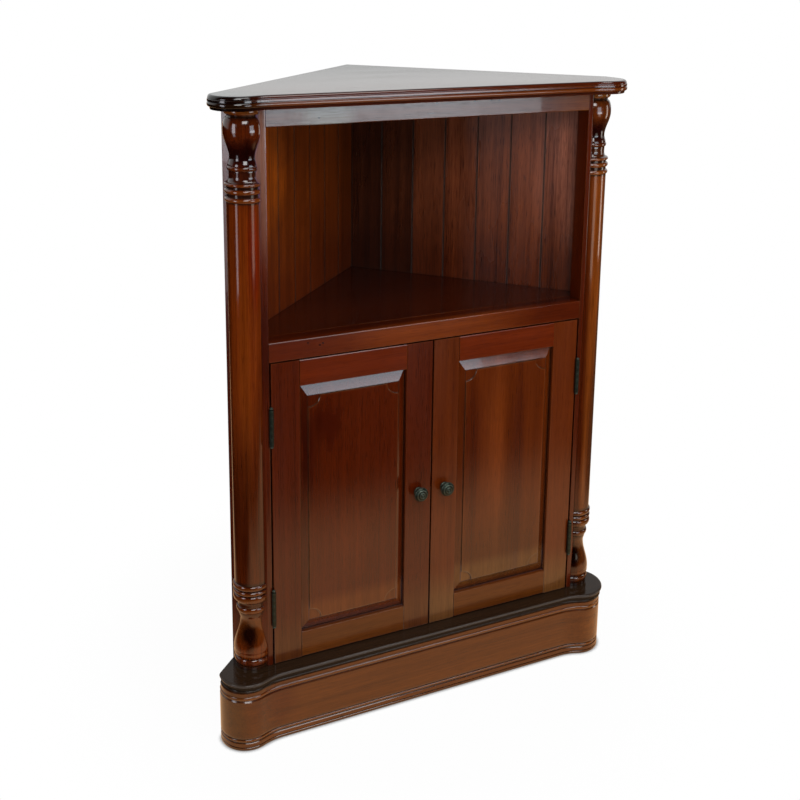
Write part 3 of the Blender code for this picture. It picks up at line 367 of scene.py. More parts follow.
    def build_patch(self) -> bpy.types.NodeTree:
        """A soft patch with a ragged outline that tints the colour.

        Returns:
            The group.
        """
        wiring, given, result = new_group(
            "tinted_patch",
            {
                "Vector": VECTOR, "Color": COLOUR, "Centre": VECTOR, "Nearness": VECTOR, "Tint": COLOUR,
                "Ragged": FLOAT,
            },
            {"Color": COLOUR},
        )
        away = wiring.vector("SUBTRACT", given["Vector"], given["Centre"])
        near = wiring.vector("MULTIPLY", away, given["Nearness"])
        rough = wiring.add("ShaderNodeTexNoise", {"Vector": near, "Scale": 1.7, "Detail": 4.0}).outputs["Fac"]
        ragged = wiring.around(rough, given["Ragged"])
        mask = wiring.ramp(wiring.sum("MULTIPLY_ADD", ragged, 2.0, wiring.vector("LENGTH", near)), 1.0, 0.25)
        tinted = wiring.blend(1.0, given["Color"], given["Tint"], "MULTIPLY")
        wiring.feed(result["Color"], wiring.blend(mask, given["Color"], tinted))
        return wiring.tree


GROUPS = FinishGroups()


# Finishes

@dataclass(frozen=True)
class Patch:
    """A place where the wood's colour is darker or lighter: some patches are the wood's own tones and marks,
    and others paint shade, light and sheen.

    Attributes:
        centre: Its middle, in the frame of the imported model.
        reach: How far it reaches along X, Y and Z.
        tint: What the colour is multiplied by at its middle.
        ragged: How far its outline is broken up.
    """

    centre: Point
    reach: Point
    tint: Colour
    ragged: float = 0.5

    def moved(self, x: float, y: float) -> "Patch":
        """The same patch, moved along x and y."""
        return replace(self, centre=(x + self.centre[0], y + self.centre[1], self.centre[2]))

    def lay(self, wiring: Wiring, where: Any, colour: Any) -> bpy.types.NodeSocket:
        """Adds the patch to a colour.

        Args:
            wiring: The material's wiring.
            where: The socket of the place.
            colour: The socket of the colour.

        Returns:
            The socket of the tinted colour.
        """
        near = tuple(1.0 / length for length in self.reach)
        values = {
            "Vector": where, "Color": colour, "Centre": self.centre, "Nearness": near, "Tint": self.tint,
            "Ragged": self.ragged,
        }
        return wiring.add("ShaderNodeGroup", values, node_tree=GROUPS.patch).outputs["Color"]


@dataclass(frozen=True)
class Wood:
    """A stained and lacquered wood.

    Attributes:
        name: The finish's name.
        light: The light part of the grain.
        dark: The dark part of the grain.
        rub: The colour on rubbed arrises, and on crests, where it is also a painted highlight.
        grain: The direction of the grain.
        figure: How strongly the grain varies.
        pores: How dark the pores are.
        roughness: The roughness of the lacquer.
        coat: The weight of the polish over it.
        wear: How far the arrises are rubbed.
        corners: How strong the painted shade in corners and recesses is.
        relief: The depth of the grain in the surface.
        dull: How much rougher the hollows are.
        specular: The strength of the reflection.
        board_seed: How far apart in the timber the boards of a row are cut.
    """

    name: str
    light: Colour
    dark: Colour
    rub: Colour = (0.23, 0.075, 0.014)
    grain: Grain = Grain.UPRIGHT
    figure: float = 0.5
    pores: float = 0.45
    roughness: float = 0.20
    coat: float = 0.25
    wear: float = 0.35
    corners: float = 0.6
    relief: float = 0.00006
    dull: float = 0.10
    specular: float = 0.5
    board_seed: ClassVar[float] = 1.37

    def tones_of(self, wiring: Wiring, number: Any, boards: Sequence[float]) -> Any:
        """The tone of each board in a row.

        Args:
            wiring: The material's wiring.
            number: The socket of the board's number.
            boards: The tones.

        Returns:
            The socket of the tone, as a colour.
        """
        ramp = wiring.add("ShaderNodeValToRGB", {0: wiring.sum("DIVIDE", number, len(boards))})
        stops = ramp.color_ramp.elements
        ramp.color_ramp.interpolation = "CONSTANT"
        for index, value in enumerate(boards):
            stop = stops[0] if index == 0 else stops.new(0.5)
            stop.position = max(0.0, (index - 0.5) / len(boards))
            stop.color = (value / 2, value / 2, value / 2, 1.0)
        stops.remove(stops[-1])
        return wiring.blend(1.0, ramp.outputs[0], (2.0, 2.0, 2.0), "MULTIPLY")

    def material(
        self, label: str, seed: float = 0.0, tone: float = 1.0, boards: Sequence[float] = (),
        patches: Sequence[Patch] = (),
    ) -> bpy.types.Material:
        """Builds the finish for one piece.

        Args:
            label: The piece's name.
            seed: Where in the timber this piece is cut from.
            tone: A factor on both colours of the grain.
            boards: The tones of a row of boards, which the piece's board attribute numbers.
            patches: Places of another tone.

        Returns:
            The material.
        """
        surface, wiring, shader = new_material(f"{self.name}_{label}")
        where = wiring.spots()
        turned = wiring.add("ShaderNodeMapping", {"Vector": where, "Rotation": self.grain.turn()}).outputs[0]
        light, dark = (tuple(channel * tone for channel in colour) for colour in (self.light, self.dark))
        values = {"Vector": turned, "Light": light, "Dark": dark, "Figure": self.figure, "Pores": self.pores}
        grain = wiring.add("ShaderNodeGroup", {**values, "Seed": seed}, node_tree=GROUPS.grain)
        colour = grain.outputs["Color"]
        if boards:
            number = wiring.attribute(BOARD)
            wiring.feed(grain.inputs["Seed"], wiring.sum("MULTIPLY_ADD", number, self.board_seed, seed))
            colour = wiring.blend(1.0, colour, self.tones_of(wiring, number, boards), "MULTIPLY")
        # Glazing and painted shade darken the hollows and a painted highlight lightens the crests; then come
        # rubbed arrises and a painted shade in corners.
        values = {"Color": colour, "Rub": self.rub}
        glaze = wiring.add("ShaderNodeGroup", values, node_tree=GROUPS.glaze).outputs
        values = {"Color": glaze["Color"], "Rub": self.rub, "Wear": self.wear, "Corners": self.corners}
        colour = wiring.add("ShaderNodeGroup", values, node_tree=GROUPS.age).outputs["Color"]
        for patch in patches:
            colour = patch.lay(wiring, where, colour)
        even = wiring.ramp(grain.outputs["Mottle"], 0.3, 0.7, self.roughness * 0.85, self.roughness * 1.2)
        lost = wiring.sum("MULTIPLY", glaze["Hollow"], min(1.0, 2.0 * self.dull))
        wiring.feed(shader["Base Color"], colour)
        wiring.feed(shader["Roughness"], wiring.sum("MULTIPLY_ADD", glaze["Hollow"], self.dull, even))
        wiring.feed(shader["Normal"], wiring.bump(grain.outputs["Height"], 0.6, self.relief))
        left = wiring.sum("SUBTRACT", 1.0, lost)
        wiring.feed(shader["Coat Weight"], wiring.sum("MULTIPLY", left, self.coat))
        wiring.feed(shader["Coat Roughness"], 0.03)
        wiring.feed(shader["Specular IOR Level"], self.specular)
        return surface


@dataclass(frozen=True)
class Metal:
    """A metal with a patina.

    Attributes:
        name: The finish's name.
        metal: The clean metal.
        patina: What covers it in patches.
        bright: The metal on rubbed crests.
        metallic: The metallic share.
    """

    name: str
    metal: Colour
    patina: Colour
    bright: Colour
    metallic: float = 0.85

    def material(self, label: str) -> bpy.types.Material:
        """Builds the finish for one kind of piece.

        Args:
            label: The piece's name.

        Returns:
            The material.
        """
        surface, wiring, shader = new_material(f"{self.name}_{label}")
        values = {"Vector": wiring.spots(), "Metal": self.metal, "Patina": self.patina, "Bright": self.bright}
        patina = wiring.add("ShaderNodeGroup", values, node_tree=GROUPS.patina).outputs
        wiring.feed(shader["Base Color"], patina["Color"])
        wiring.feed(shader["Roughness"], patina["Roughness"])
        wiring.feed(shader["Normal"], wiring.bump(patina["Height"], 0.5, 0.0001))
        wiring.feed(shader["Metallic"], self.metallic)
        return surface


@dataclass(frozen=True)
class Moulded:
    """A moulded plastic with a fine grain.

    Attributes:
        name: The finish's name.
        colour: The plastic's colour.
        roughness: Its roughness.
        cells: The grain's noise cells in a metre.
    """

    name: str
    colour: Colour
    roughness: float = 0.5
    cells: Point = (1800.0, 1800.0, 1800.0)

    def material(self, label: str) -> bpy.types.Material:
        """Builds the finish for one kind of piece.

        Args:
            label: The piece's name.

        Returns:
            The material.
        """
        surface, wiring, shader = new_material(f"{self.name}_{label}")
        grain = wiring.noise(wiring.spots(), self.cells, 2.0)
        lighter = tuple(channel * 1.5 for channel in self.colour)
        rough = wiring.ramp(grain, 0.3, 0.7, self.roughness * 0.9, self.roughness * 1.1)
        wiring.feed(shader["Base Color"], wiring.blend(grain, self.colour, lighter))
        wiring.feed(shader["Roughness"], rough)
        wiring.feed(shader["Normal"], wiring.bump(grain, 0.4, 0.00008))
        return surface


MAHOGANY = Wood(
    "mahogany", light=(0.086, 0.0098, 0.0006), dark=(0.038, 0.0040, 0.0003), figure=0.30, specular=0.42
)
BRIGHT_MAHOGANY = replace(
    MAHOGANY, name="bright_mahogany", light=(0.124, 0.0200, 0.0016), dark=(0.056, 0.0080, 0.0006)
)
PANEL_WOOD = replace(MAHOGANY, name="panel_mahogany", roughness=0.15, coat=0.4)
BRIGHT_PANEL_WOOD = replace(BRIGHT_MAHOGANY, name="bright_panel_mahogany", roughness=0.15, coat=0.4)
MAHOGANY_ACROSS = replace(MAHOGANY, name="mahogany_across", grain=Grain.ACROSS)
RAIL_WOOD = replace(
    MAHOGANY_ACROSS, name="rail_mahogany", light=(0.100, 0.0200, 0.0030), relief=0.00012, roughness=0.24
)
ORANGE_RAIL = replace(
    MAHOGANY_ACROSS, name="orange_rail", light=(0.136, 0.0150, 0.0005), dark=(0.060, 0.0062, 0.0003),
    specular=0.34, coat=0.12,
)
# A darker copy of the rail's wood for the shelf board, whose dark colour paints the shade inside the open
# compartment.
SHADED_DECK_WOOD = replace(
    MAHOGANY_ACROSS, name="shaded_dark_deck", light=(0.040, 0.0054, 0.0010), dark=(0.016, 0.0019, 0.0004)
)
TOP_MAHOGANY = replace(MAHOGANY_ACROSS, name="top_mahogany", roughness=0.12)
# The light grey on its rubbed crests paints a highlight line along the cap's nose.
CAP_WOOD = replace(
    MAHOGANY_ACROSS, name="black_stained_cap", light=(0.030, 0.0145, 0.0070), dark=(0.012, 0.0060, 0.0028),
    rub=(0.10, 0.085, 0.075), roughness=0.06, coat=0.0, specular=0.17,
)
SKIRT_WOOD = replace(
    MAHOGANY_ACROSS, name="brown_skirt", light=(0.128, 0.0275, 0.0016), dark=(0.052, 0.0094, 0.0006),
    figure=0.45, roughness=0.13, coat=0.4,
)
SKIRT_RIGHT = replace(SKIRT_WOOD, name="brown_skirt_right", grain=Grain.RIGHT_WALL)
SKIRT_LEFT = replace(SKIRT_WOOD, name="brown_skirt_left", grain=Grain.LEFT_WALL)
COLUMN_WOOD = replace(
    MAHOGANY, name="turned_mahogany", light=(0.150, 0.0240, 0.0019), dark=(0.056, 0.0070, 0.0006),
    rub=(0.215, 0.066, 0.010), figure=0.6, roughness=0.11, coat=0.35, dull=0.0,
)
GOLDEN_COLUMN = replace(
    COLUMN_WOOD, name="golden_turned", light=(0.245, 0.0570, 0.0068), dark=(0.104, 0.0205, 0.0024),
    rub=(0.29, 0.105, 0.018),
)
GOLDEN_PLANKS = replace(
    MAHOGANY, name="golden_plank", light=(0.215, 0.0390, 0.0024), dark=(0.062, 0.0090, 0.0007), figure=0.65,
    pores=0.7, roughness=0.34, coat=0.0, dull=0.5, specular=0.16,
)
# Its bluish-purple cast is partly the wood's colour and partly a painted sheen that the right wall reflects.
DARK_PLANKS = replace(
    MAHOGANY, name="dark_plank", light=(0.155, 0.0370, 0.0120), dark=(0.046, 0.0096, 0.0034), figure=0.60,
    pores=0.9, roughness=0.28, coat=0.05, dull=0.5, specular=0.46,
)
DEAL = Wood(
    "plain_deal", light=(0.42, 0.26, 0.12), dark=(0.26, 0.14, 0.06), coat=0.0, roughness=0.5, wear=0.0,
    corners=0.3,
)
BRONZE = Metal(
    "dark_bronze", metal=(0.016, 0.018, 0.013), patina=(0.017, 0.030, 0.022), bright=(0.11, 0.13, 0.10)
)
STEEL = Metal("bright_steel", (0.42, 0.42, 0.43), (0.34, 0.34, 0.35), (0.6, 0.6, 0.6), metallic=1.0)
CATCH_PLASTIC = Moulded("brown_plastic", colour=(0.030, 0.017, 0.010))


# Mesh making

def spread(start: float, end: float, steps: int) -> list[float]:
    """Evenly spaced values from start to end, both included."""
    return [start + (end - start) * step / steps for step in range(steps + 1)]


def bulge(start: float, end: float, edge: float, crest: float, steps: int) -> list[ProfilePoint]:
    """Half an ellipse that leaves edge at start, meets crest half way, and returns.

    Args:
        start: The first height.
        end: The last height.
        edge: The value at both ends.
        crest: The value half way.
        steps: How many steps it has.

    Returns:
        Value, height and the share of the way to the crest, for each point.
    """
    points = []
    for angle in spread(-math.pi / 2, math.pi / 2, steps):
        share = math.cos(angle)
        height = (start + end + (end - start) * math.sin(angle)) / 2
        points.append((edge + (crest - edge) * share, height, share))
    return points


def smooth(mesh: bpy.types.Mesh, angle: float) -> bpy.types.Mesh:
    """Smooth shading below an angle, with flat ends kept crisp.

    Args:
        mesh: The mesh to shade.
        angle: The angle in degrees above which an edge stays sharp.

    Returns:
        The same mesh.
    """
    mesh.shade_smooth()
    mesh.set_sharp_from_angle(angle=math.radians(angle))
    ends = {key for face in mesh.polygons if face.loop_total > 4 for key in face.edge_keys}
    for edge in mesh.edges:
        if edge.key in ends:
            edge.use_edge_sharp = True
    return mesh


def finished(shape: Shape, name: str, move: Vector = SHIFT, angle: float = ROUND_ANGLE) -> bpy.types.Mesh:
    """Merges doubles, points the faces outwards and writes the mesh.

    Args:
        shape: The shape, which is freed.
        name: The mesh's name.
        move: How far the shape is moved first.
        angle: The angle above which an edge stays sharp.

    Returns:
        The mesh, shaded.
    """
    bmesh.ops.remove_doubles(shape, verts=shape.verts, dist=WELD)
    bmesh.ops.recalc_face_normals(shape, faces=shape.faces)
    bmesh.ops.translate(shape, verts=shape.verts, vec=move)
    mesh = bpy.data.meshes.new(name)
    shape.to_mesh(mesh)
    shape.free()
    return smooth(mesh, angle)


def loft(shape: Shape, rings: Sequence[Sequence[Point]], glaze: Sequence[Sequence[float]]) -> None:
    """Skins closed rings of points and closes both ends.

    Args:
        shape: The shape that the skin is added to.
        rings: The rings, each with the same count of points.
        glaze: The values of glazing and painted light of each ring's points.
    """
    layer = shape.verts.layers.float.get(GLAZE_AND_PAINTED_LIGHT) or shape.verts.layers.float.new(GLAZE_AND_PAINTED_LIGHT)
    rows = []
    for ring, values in zip(rings, glaze):
        row = [shape.verts.new(point) for point in ring]
        for vert, value in zip(row, values):
            vert[layer] = value
        rows.append(row)
    for lower, upper in zip(rows, rows[1:]):
        for i, corner in enumerate(lower):
            j = (i + 1) % len(lower)
            shape.faces.new((corner, lower[j], upper[j], upper[i]))
    shape.faces.new(rows[0][::-1])
    shape.faces.new(rows[-1])


def slab(shape: Shape, low: Point, high: Point, round_off: float = 0.0) -> None:
    """Adds a box whose edges may be rounded.

    Args:
        shape: The shape that the box is added to.
        low: The lowest corner.
        high: The highest corner.
        round_off: The width of the rounding.
    """
    made = bmesh.ops.create_cube(shape, size=1.0)["verts"]
    for vert in made:
        for axis in range(3):
            vert.co[axis] = low[axis] + (vert.co[axis] + 0.5) * (high[axis] - low[axis])
    if round_off > 0.0:
        edges = list({edge for vert in made for edge in vert.link_edges})
        bmesh.ops.bevel(shape, geom=edges, offset=round_off, segments=2, profile=0.5, affect="EDGES")


def swing(shape: Shape, degrees: float, axis: str) -> None:
    """Turns a shape about an axis through the origin."""
    matrix = Matrix.Rotation(math.radians(degrees), 3, axis)
    bmesh.ops.rotate(shape, verts=shape.verts, cent=(0.0, 0.0, 0.0), matrix=matrix)


def join(shape: Shape, other: Shape) -> None:
    """Adds a shape to another one.

    Args:
        shape: The shape that takes it in.
        other: The shape that is added and freed.
    """
    mesh = bpy.data.meshes.new("part")
    other.to_mesh(mesh)
    other.free()
    shape.from_mesh(mesh)
    bpy.data.meshes.remove(mesh)


class GeometryTrees:
    """The Geometry Nodes trees for turned pieces and for rows of like pieces."""

    def __init__(self) -> None:
        """Builds the trees."""
        self.lathe = self.build_lathe()
        self.row = self.build_row()

    @staticmethod
    def start(name: str, inputs: dict[str, str]) -> tuple[Wiring, Any]:
        """Starts a tree that takes geometry and gives geometry.

        Args:
            name: The tree's name.
            inputs: Socket type by input name, after the geometry.

        Returns:
            The wiring and the input node's outputs.
        """
        tree = bpy.data.node_groups.new(name, "GeometryNodeTree")
        for label, kind in {"Geometry": GEOMETRY, **inputs, "Finish": FINISH}.items():
            tree.interface.new_socket(label, in_out="INPUT", socket_type=kind)
        tree.interface.new_socket("Geometry", in_out="OUTPUT", socket_type=GEOMETRY)
        wiring = Wiring(tree)
        return wiring, wiring.add("NodeGroupInput").outputs

    @staticmethod
    def close(
        wiring: Wiring, geometry: Any, name: str, value: Any, domain: str, finish: Any
    ) -> bpy.types.NodeTree:
        """Ends a tree in a stored attribute, Realize Instances and Set Material.

        Args:
            wiring: The tree's wiring.
            geometry: The geometry's socket.
            name: The attribute's name.
            value: The socket of its value.
            domain: The domain that it is stored on.
            finish: The material's socket.

        Returns:
            The tree.
        """
        inputs = {"Geometry": geometry, "Name": name, "Value": value}
        stored = wiring.add("GeometryNodeStoreNamedAttribute", inputs, data_type="FLOAT", domain=domain)
        real = wiring.add("GeometryNodeRealizeInstances", {0: stored.outputs[0]}).outputs[0]
        dressed = wiring.add("GeometryNodeSetMaterial", {"Geometry": real, "Material": finish}).outputs[0]
        wiring.feed(wiring.add("NodeGroupOutput").inputs[0], dressed)
        return wiring.tree

    def build_lathe(self) -> bpy.types.NodeTree:
        """Turns a profile of points, radius along X and height along Z, into a solid about Z.

        Returns:
            The tree.
        """
        wiring, given = self.start("turned_piece", {"Segments": COUNT})
        size = wiring.add("GeometryNodeAttributeDomainSize", {0: given[0]}, component="MESH")
        count = size.outputs["Point Count"]
        columns = wiring.sum("ADD", given["Segments"], 1.0)
        grid = wiring.add("GeometryNodeMeshGrid", {"Vertices X": columns, "Vertices Y": count}).outputs[0]
        index = wiring.add("GeometryNodeInputIndex").outputs[0]
        turn = wiring.sum("FLOOR", wiring.sum("DIVIDE", wiring.sum("ADD", index, 0.5), count))
        step = wiring.sum("ROUND", wiring.sum("SUBTRACT", index, wiring.sum("MULTIPLY", turn, count)))
        spot = wiring.add("GeometryNodeInputPosition").outputs[0]
        inputs = {0: given[0], 1: spot, 2: step}
        found = wiring.add("GeometryNodeSampleIndex", inputs, data_type="FLOAT_VECTOR")
        parts = wiring.add("ShaderNodeSeparateXYZ", {0: found.outputs[0]}).outputs
        angle = wiring.sum("DIVIDE", wiring.sum("MULTIPLY", turn, 2.0 * math.pi), given["Segments"])
        x = wiring.sum("MULTIPLY", parts[0], wiring.sum("COSINE", angle))
        y = wiring.sum("MULTIPLY", parts[0], wiring.sum("SINE", angle))
        place = wiring.add("ShaderNodeCombineXYZ", {0: x, 1: y, 2: parts[2]}).outputs[0]
        shaped = wiring.add("GeometryNodeSetPosition", {"Geometry": grid, "Position": place}).outputs[0]
        value = wiring.add("GeometryNodeInputNamedAttribute", {"Name": GLAZE_AND_PAINTED_LIGHT}, data_type="FLOAT").outputs[0]
        inputs = {0: given[0], 1: value, 2: step}
        tint = wiring.add("GeometryNodeSampleIndex", inputs, data_type="FLOAT").outputs[0]
        return self.close(wiring, shaped, GLAZE_AND_PAINTED_LIGHT, tint, "POINT", given["Finish"])

    def build_row(self) -> bpy.types.NodeTree:
        """Repeats the given piece in a straight row and numbers the copies.

        Returns:
            The tree.
        """
        sockets = {"Count": COUNT, "Start": VECTOR, "Step": VECTOR, "First Number": FLOAT}
        wiring, given = self.start("row_of_pieces", sockets)
        inputs = {"Count": given["Count"], "Start Location": given["Start"], "Offset": given["Step"]}
        line = wiring.add("GeometryNodeMeshLine", inputs, mode="OFFSET").outputs[0]
        row = wiring.add("GeometryNodeInstanceOnPoints", {"Points": line, "Instance": given[0]}).outputs[0]
        number = wiring.sum("ADD", wiring.add("GeometryNodeInputIndex").outputs[0], given["First Number"])
        return self.close(wiring, row, BOARD, number, "INSTANCE", given["Finish"])


TREES = GeometryTrees()


def evaluate(tree: bpy.types.NodeTree, source: bpy.types.Mesh, values: dict[str, Any]) -> Shape:
    """Runs a tree on a mesh.

    Args:
        tree: The Geometry Nodes tree.
        source: The mesh that goes in, which is removed.
        values: The tree's inputs by name.

    Returns:
        The shape that comes out.
    """
    holder = bpy.data.objects.new("tree_holder", source)
    bpy.context.scene.collection.objects.link(holder)
    modifier = holder.modifiers.new("tree", "NODES")
    modifier.node_group = tree
    for item in tree.interface.items_tree:
        if item.in_out == "INPUT" and item.name in values:
            modifier[item.identifier] = values[item.name]
    bpy.context.view_layer.update()
    graph = bpy.context.evaluated_depsgraph_get()
    mesh = bpy.data.meshes.new_from_object(holder.evaluated_get(graph))
    holder.modifiers.remove(modifier)
    bpy.data.objects.remove(holder)
    bpy.data.meshes.remove(source)
    shape = bmesh.new()
    shape.from_mesh(mesh)
    bpy.data.meshes.remove(mesh)
    return shape


def turned(profile: Sequence[ProfilePoint], segments: int, surface: bpy.types.Material) -> Shape:
    """Turns a profile about Z.

    Args:
        profile: Radius, height, and glazing and painted light, from the top down.
        segments: How many segments a turn has.
        surface: The material.

    Returns:
        The turned shape.
    """
    line = bpy.data.meshes.new("profile")
    line.from_pydata([(radius, 0.0, height) for radius, height, _ in profile], [], [])
    values = line.attributes.new(GLAZE_AND_PAINTED_LIGHT, "FLOAT", "POINT")
    values.data.foreach_set("value", [value for _, _, value in profile])
    shape = evaluate(TREES.lathe, line, {"Segments": segments, "Finish": surface})
    bmesh.ops.remove_doubles(shape, verts=shape.verts, dist=WELD)
    return shape


def row_of(
    shape: Shape, count: int, start: Point, step: Point, surface: bpy.types.Material, first: float = 0.0
) -> Shape:
    """Repeats a shape in a straight row.

    Args:
        shape: The shape, which is freed.
        count: How many there are.
        start: Where the first one goes.
        step: From one to the next.
        surface: The material.
        first: The number of the first one.

    Returns:
        The row as one shape.
    """
    single = bpy.data.meshes.new("single")
    shape.to_mesh(single)
    shape.free()
    values = {"Count": count, "Start": start, "Step": step, "First Number": first, "Finish": surface}
    return evaluate(TREES.row, single, values)


# Pieces

def piece(
    name: str, mesh: bpy.types.Mesh, surface: bpy.types.Material, body: str,
    stands_for: Sequence[str] = (),
) -> None:
    """Puts a finished mesh into the scene as a piece on a body.

    Args:
        name: The piece's name.
        mesh: Its mesh, already in place.
        surface: Its material.
        body: The body that it rides on.
        stands_for: The construction nodes that it replaces.
    """
    mesh.materials.clear()
    mesh.materials.append(surface)
    item = bpy.data.objects.new(name, mesh)
    bpy.context.scene.collection.objects.link(item)
    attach(item, body)
    if stands_for:
        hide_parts(*stands_for)
    LOG.info("%s: %d faces on %s", name, len(mesh.polygons), body)


def remake(
    node: str, shape: Shape, surface: bpy.types.Material, body: str, move: Vector = SHIFT,
    angle: float = ROUND_ANGLE,
) -> None:
    """Replaces a construction node by a new shape.

    Args:
        node: The node's name.
        shape: The new shape, which is freed.
        surface: The material.
        body: The body that it rides on.
        move: How far the shape is moved.
        angle: The angle above which an edge stays sharp.
    """
    name = f"{node}_finished"
    piece(name, finished(shape, name, move, angle), surface, body, [node])


def dress(node: str, surface: bpy.types.Material) -> None:
    """Gives a construction node its finish and leaves its shape.

    Args:
        node: The node's name.
        surface: The material.
    """
    item = frame["nodes"][node]
    item.data.materials.clear()
    item.data.materials.append(surface)
    LOG.info("%s: finished as built", node)


def recut(node: str, surface: bpy.types.Material, body: str, arris: float = 0.0) -> None:
    """Replaces a construction node by a merged and softly edged copy of itself.

    Args:
        node: The node's name.
        surface: The material.
        body: The body that it rides on.
        arris: The width of the rounding on sharp edges, or zero for none.
    """
    name = f"{node}_finished"
    shape = bmesh.new()
    shape.from_mesh(frame["nodes"][node].data)
    bmesh.ops.remove_doubles(shape, verts=shape.verts, dist=WELD)
    bmesh.ops.dissolve_limit(shape, angle_limit=math.radians(1.0), verts=shape.verts, edges=shape.edges)
    if arris > 0.0:
        limit = math.radians(ROUND_ANGLE)
        sharp = [edge for edge in shape.edges if len(edge.link_faces) == 2 and edge.calc_face_angle() > limit]
        bmesh.ops.bevel(
            shape, geom=sharp, offset=arris, segments=2, profile=0.5, affect="EDGES", clamp_overlap=True,
            loop_slide=True,
        )
    mesh = bpy.data.meshes.new(name)
    shape.to_mesh(mesh)
    shape.free()
    piece(name, smooth(mesh, FLAT_ANGLE), surface, body, [node])


@dataclass(frozen=True)
class Carcass:
    """Sizes that the sub-assemblies share.

    Attributes:
        opening_w: The width of the opening.
        post_strip_w: The strip of a post that faces the front.
        post_facet_w: The canted face of a post.
        post_t: A post's thickness.
        wall_t: A wall's thickness.
        floor_z: The upper face of the floor board.
        top_z: The underside of the top board.
        lobe_shift: From the middle of a canted face to the lobes' centre.
    """

    opening_w: float = 0.600
    post_strip_w: float = 0.0085
    post_facet_w: float = 0.0693
    post_t: float = 0.030
    wall_t: float = 0.018
    floor_z: float = 0.124
    top_z: float = 1.095
    lobe_shift: tuple[float, float] = (0.004, -0.015)

    @property
    def post_edge_x(self) -> float:
        """Where a post's front strip meets its canted face."""
        return self.opening_w / 2 + self.post_strip_w

    @property
    def facet_run(self) -> float:
        """How far a canted face runs along x and along y."""
        return self.post_facet_w / ROOT2

    @property
    def wall_outer(self) -> float:
        """Where the outer plane of the right wall meets the middle plane."""
        return self.post_edge_x + 2 * self.facet_run

    @property
    def post_back(self) -> float:
        """Where the plane of a post's inner face meets y = 0."""
        return self.post_edge_x - self.post_t * ROOT2

    @property
    def lobe(self) -> tuple[float, float]:
        """The shared centre of the lobes."""
        half = self.facet_run / 2
        return self.post_edge_x + half + self.lobe_shift[0], half + self.lobe_shift[1]


CARCASS = Carcass()


@dataclass(frozen=True)
class SerpentineEdge:
    """One serpentine edge in plan.

    Attributes:
        overhang: How far it stands before the doors in the middle.
        lobe_r: The radius of its lobes.
        sweep_r: The radius of its hollow sweeps.
        shift: How far its lobes sit to the right of the opening's middle.
        forward: How far its lobes sit to the front.
        sweep_steps: Steps in a sweep.
        lobe_steps: Steps in a lobe.
    """

    overhang: float
    lobe_r: float
    sweep_r: float
    shift: float
    forward: float = 0.0
    sweep_steps: int = 16
    lobe_steps: int = 56

    def half(self, side: int, inset: float) -> Plan:
        """One half of the edge, with x positive, from the centre line to the wall's outer plane.

        Args:
            side: +1 for the right half and -1 for the left.
            inset: How far the edge is drawn in.

        Returns:
            The points.
        """
        centre_x, centre_y = CARCASS.lobe
        centre_x += side * self.shift
        centre_y -= self.forward
        front = inset - self.overhang
        radius = self.lobe_r - inset
        sweep = self.sweep_r + inset
        rise = centre_y - front + sweep
        run = math.sqrt((radius + sweep) ** 2 - rise ** 2)
        turn = math.atan2(-rise, -run)
        points = [(0.0, front)]
        for angle in spread(math.pi / 2, turn + math.pi, self.sweep_steps):
            points.append((centre_x - run + sweep * math.cos(angle), front - sweep + sweep * math.sin(angle)))
        reach = (CARCASS.wall_outer - centre_x - centre_y) / ROOT2
        if reach > radius:
            tangent = math.pi / 4 - math.acos(radius / reach)
            lobe = [(angle, radius) for angle in spread(turn, tangent, self.lobe_steps - 1)[1:]]
            lobe.append((math.pi / 4, reach))
        else:
            end = math.pi / 4 - math.acos(reach / radius)
            lobe = [(angle, radius) for angle in spread(turn, end, self.lobe_steps)[1:]]
        for angle, distance in lobe:
            points.append((centre_x + distance * math.cos(angle), centre_y + distance * math.sin(angle)))
        return points

    def outline(self, inset: float, shared: Plan) -> Plan:
        """The whole outline.

        Args:
            inset: How far the edge is drawn in.
            shared: The points behind the right half, which are mirrored for the left.

        Returns:
            The points, right half first.
        """
        back = shared + [(-x, y) for x, y in reversed(shared) if x > 0.0]
        return self.half(1, inset) + back + [(-x, y) for x, y in reversed(self.half(-1, inset)[1:])]

    def board(self, rows: Sequence[ProfilePoint], shared: Plan) -> Shape:
        """A board with a moulded serpentine edge.

        Args:
            rows: Inset, height, and glazing and painted light, of the edge.
            shared: The points behind the right half, which are mirrored for the left.

        Returns:
            The shape.
        """
        shape = bmesh.new()
        plans = [self.outline(inset, shared) for inset, _, _ in rows]
        rings = [[(x, y, height) for x, y in plan] for plan, (_, height, _) in zip(plans, rows)]
        loft(shape, rings, [[glaze] * len(plan) for plan, (_, _, glaze) in zip(plans, rows)])
        return shape


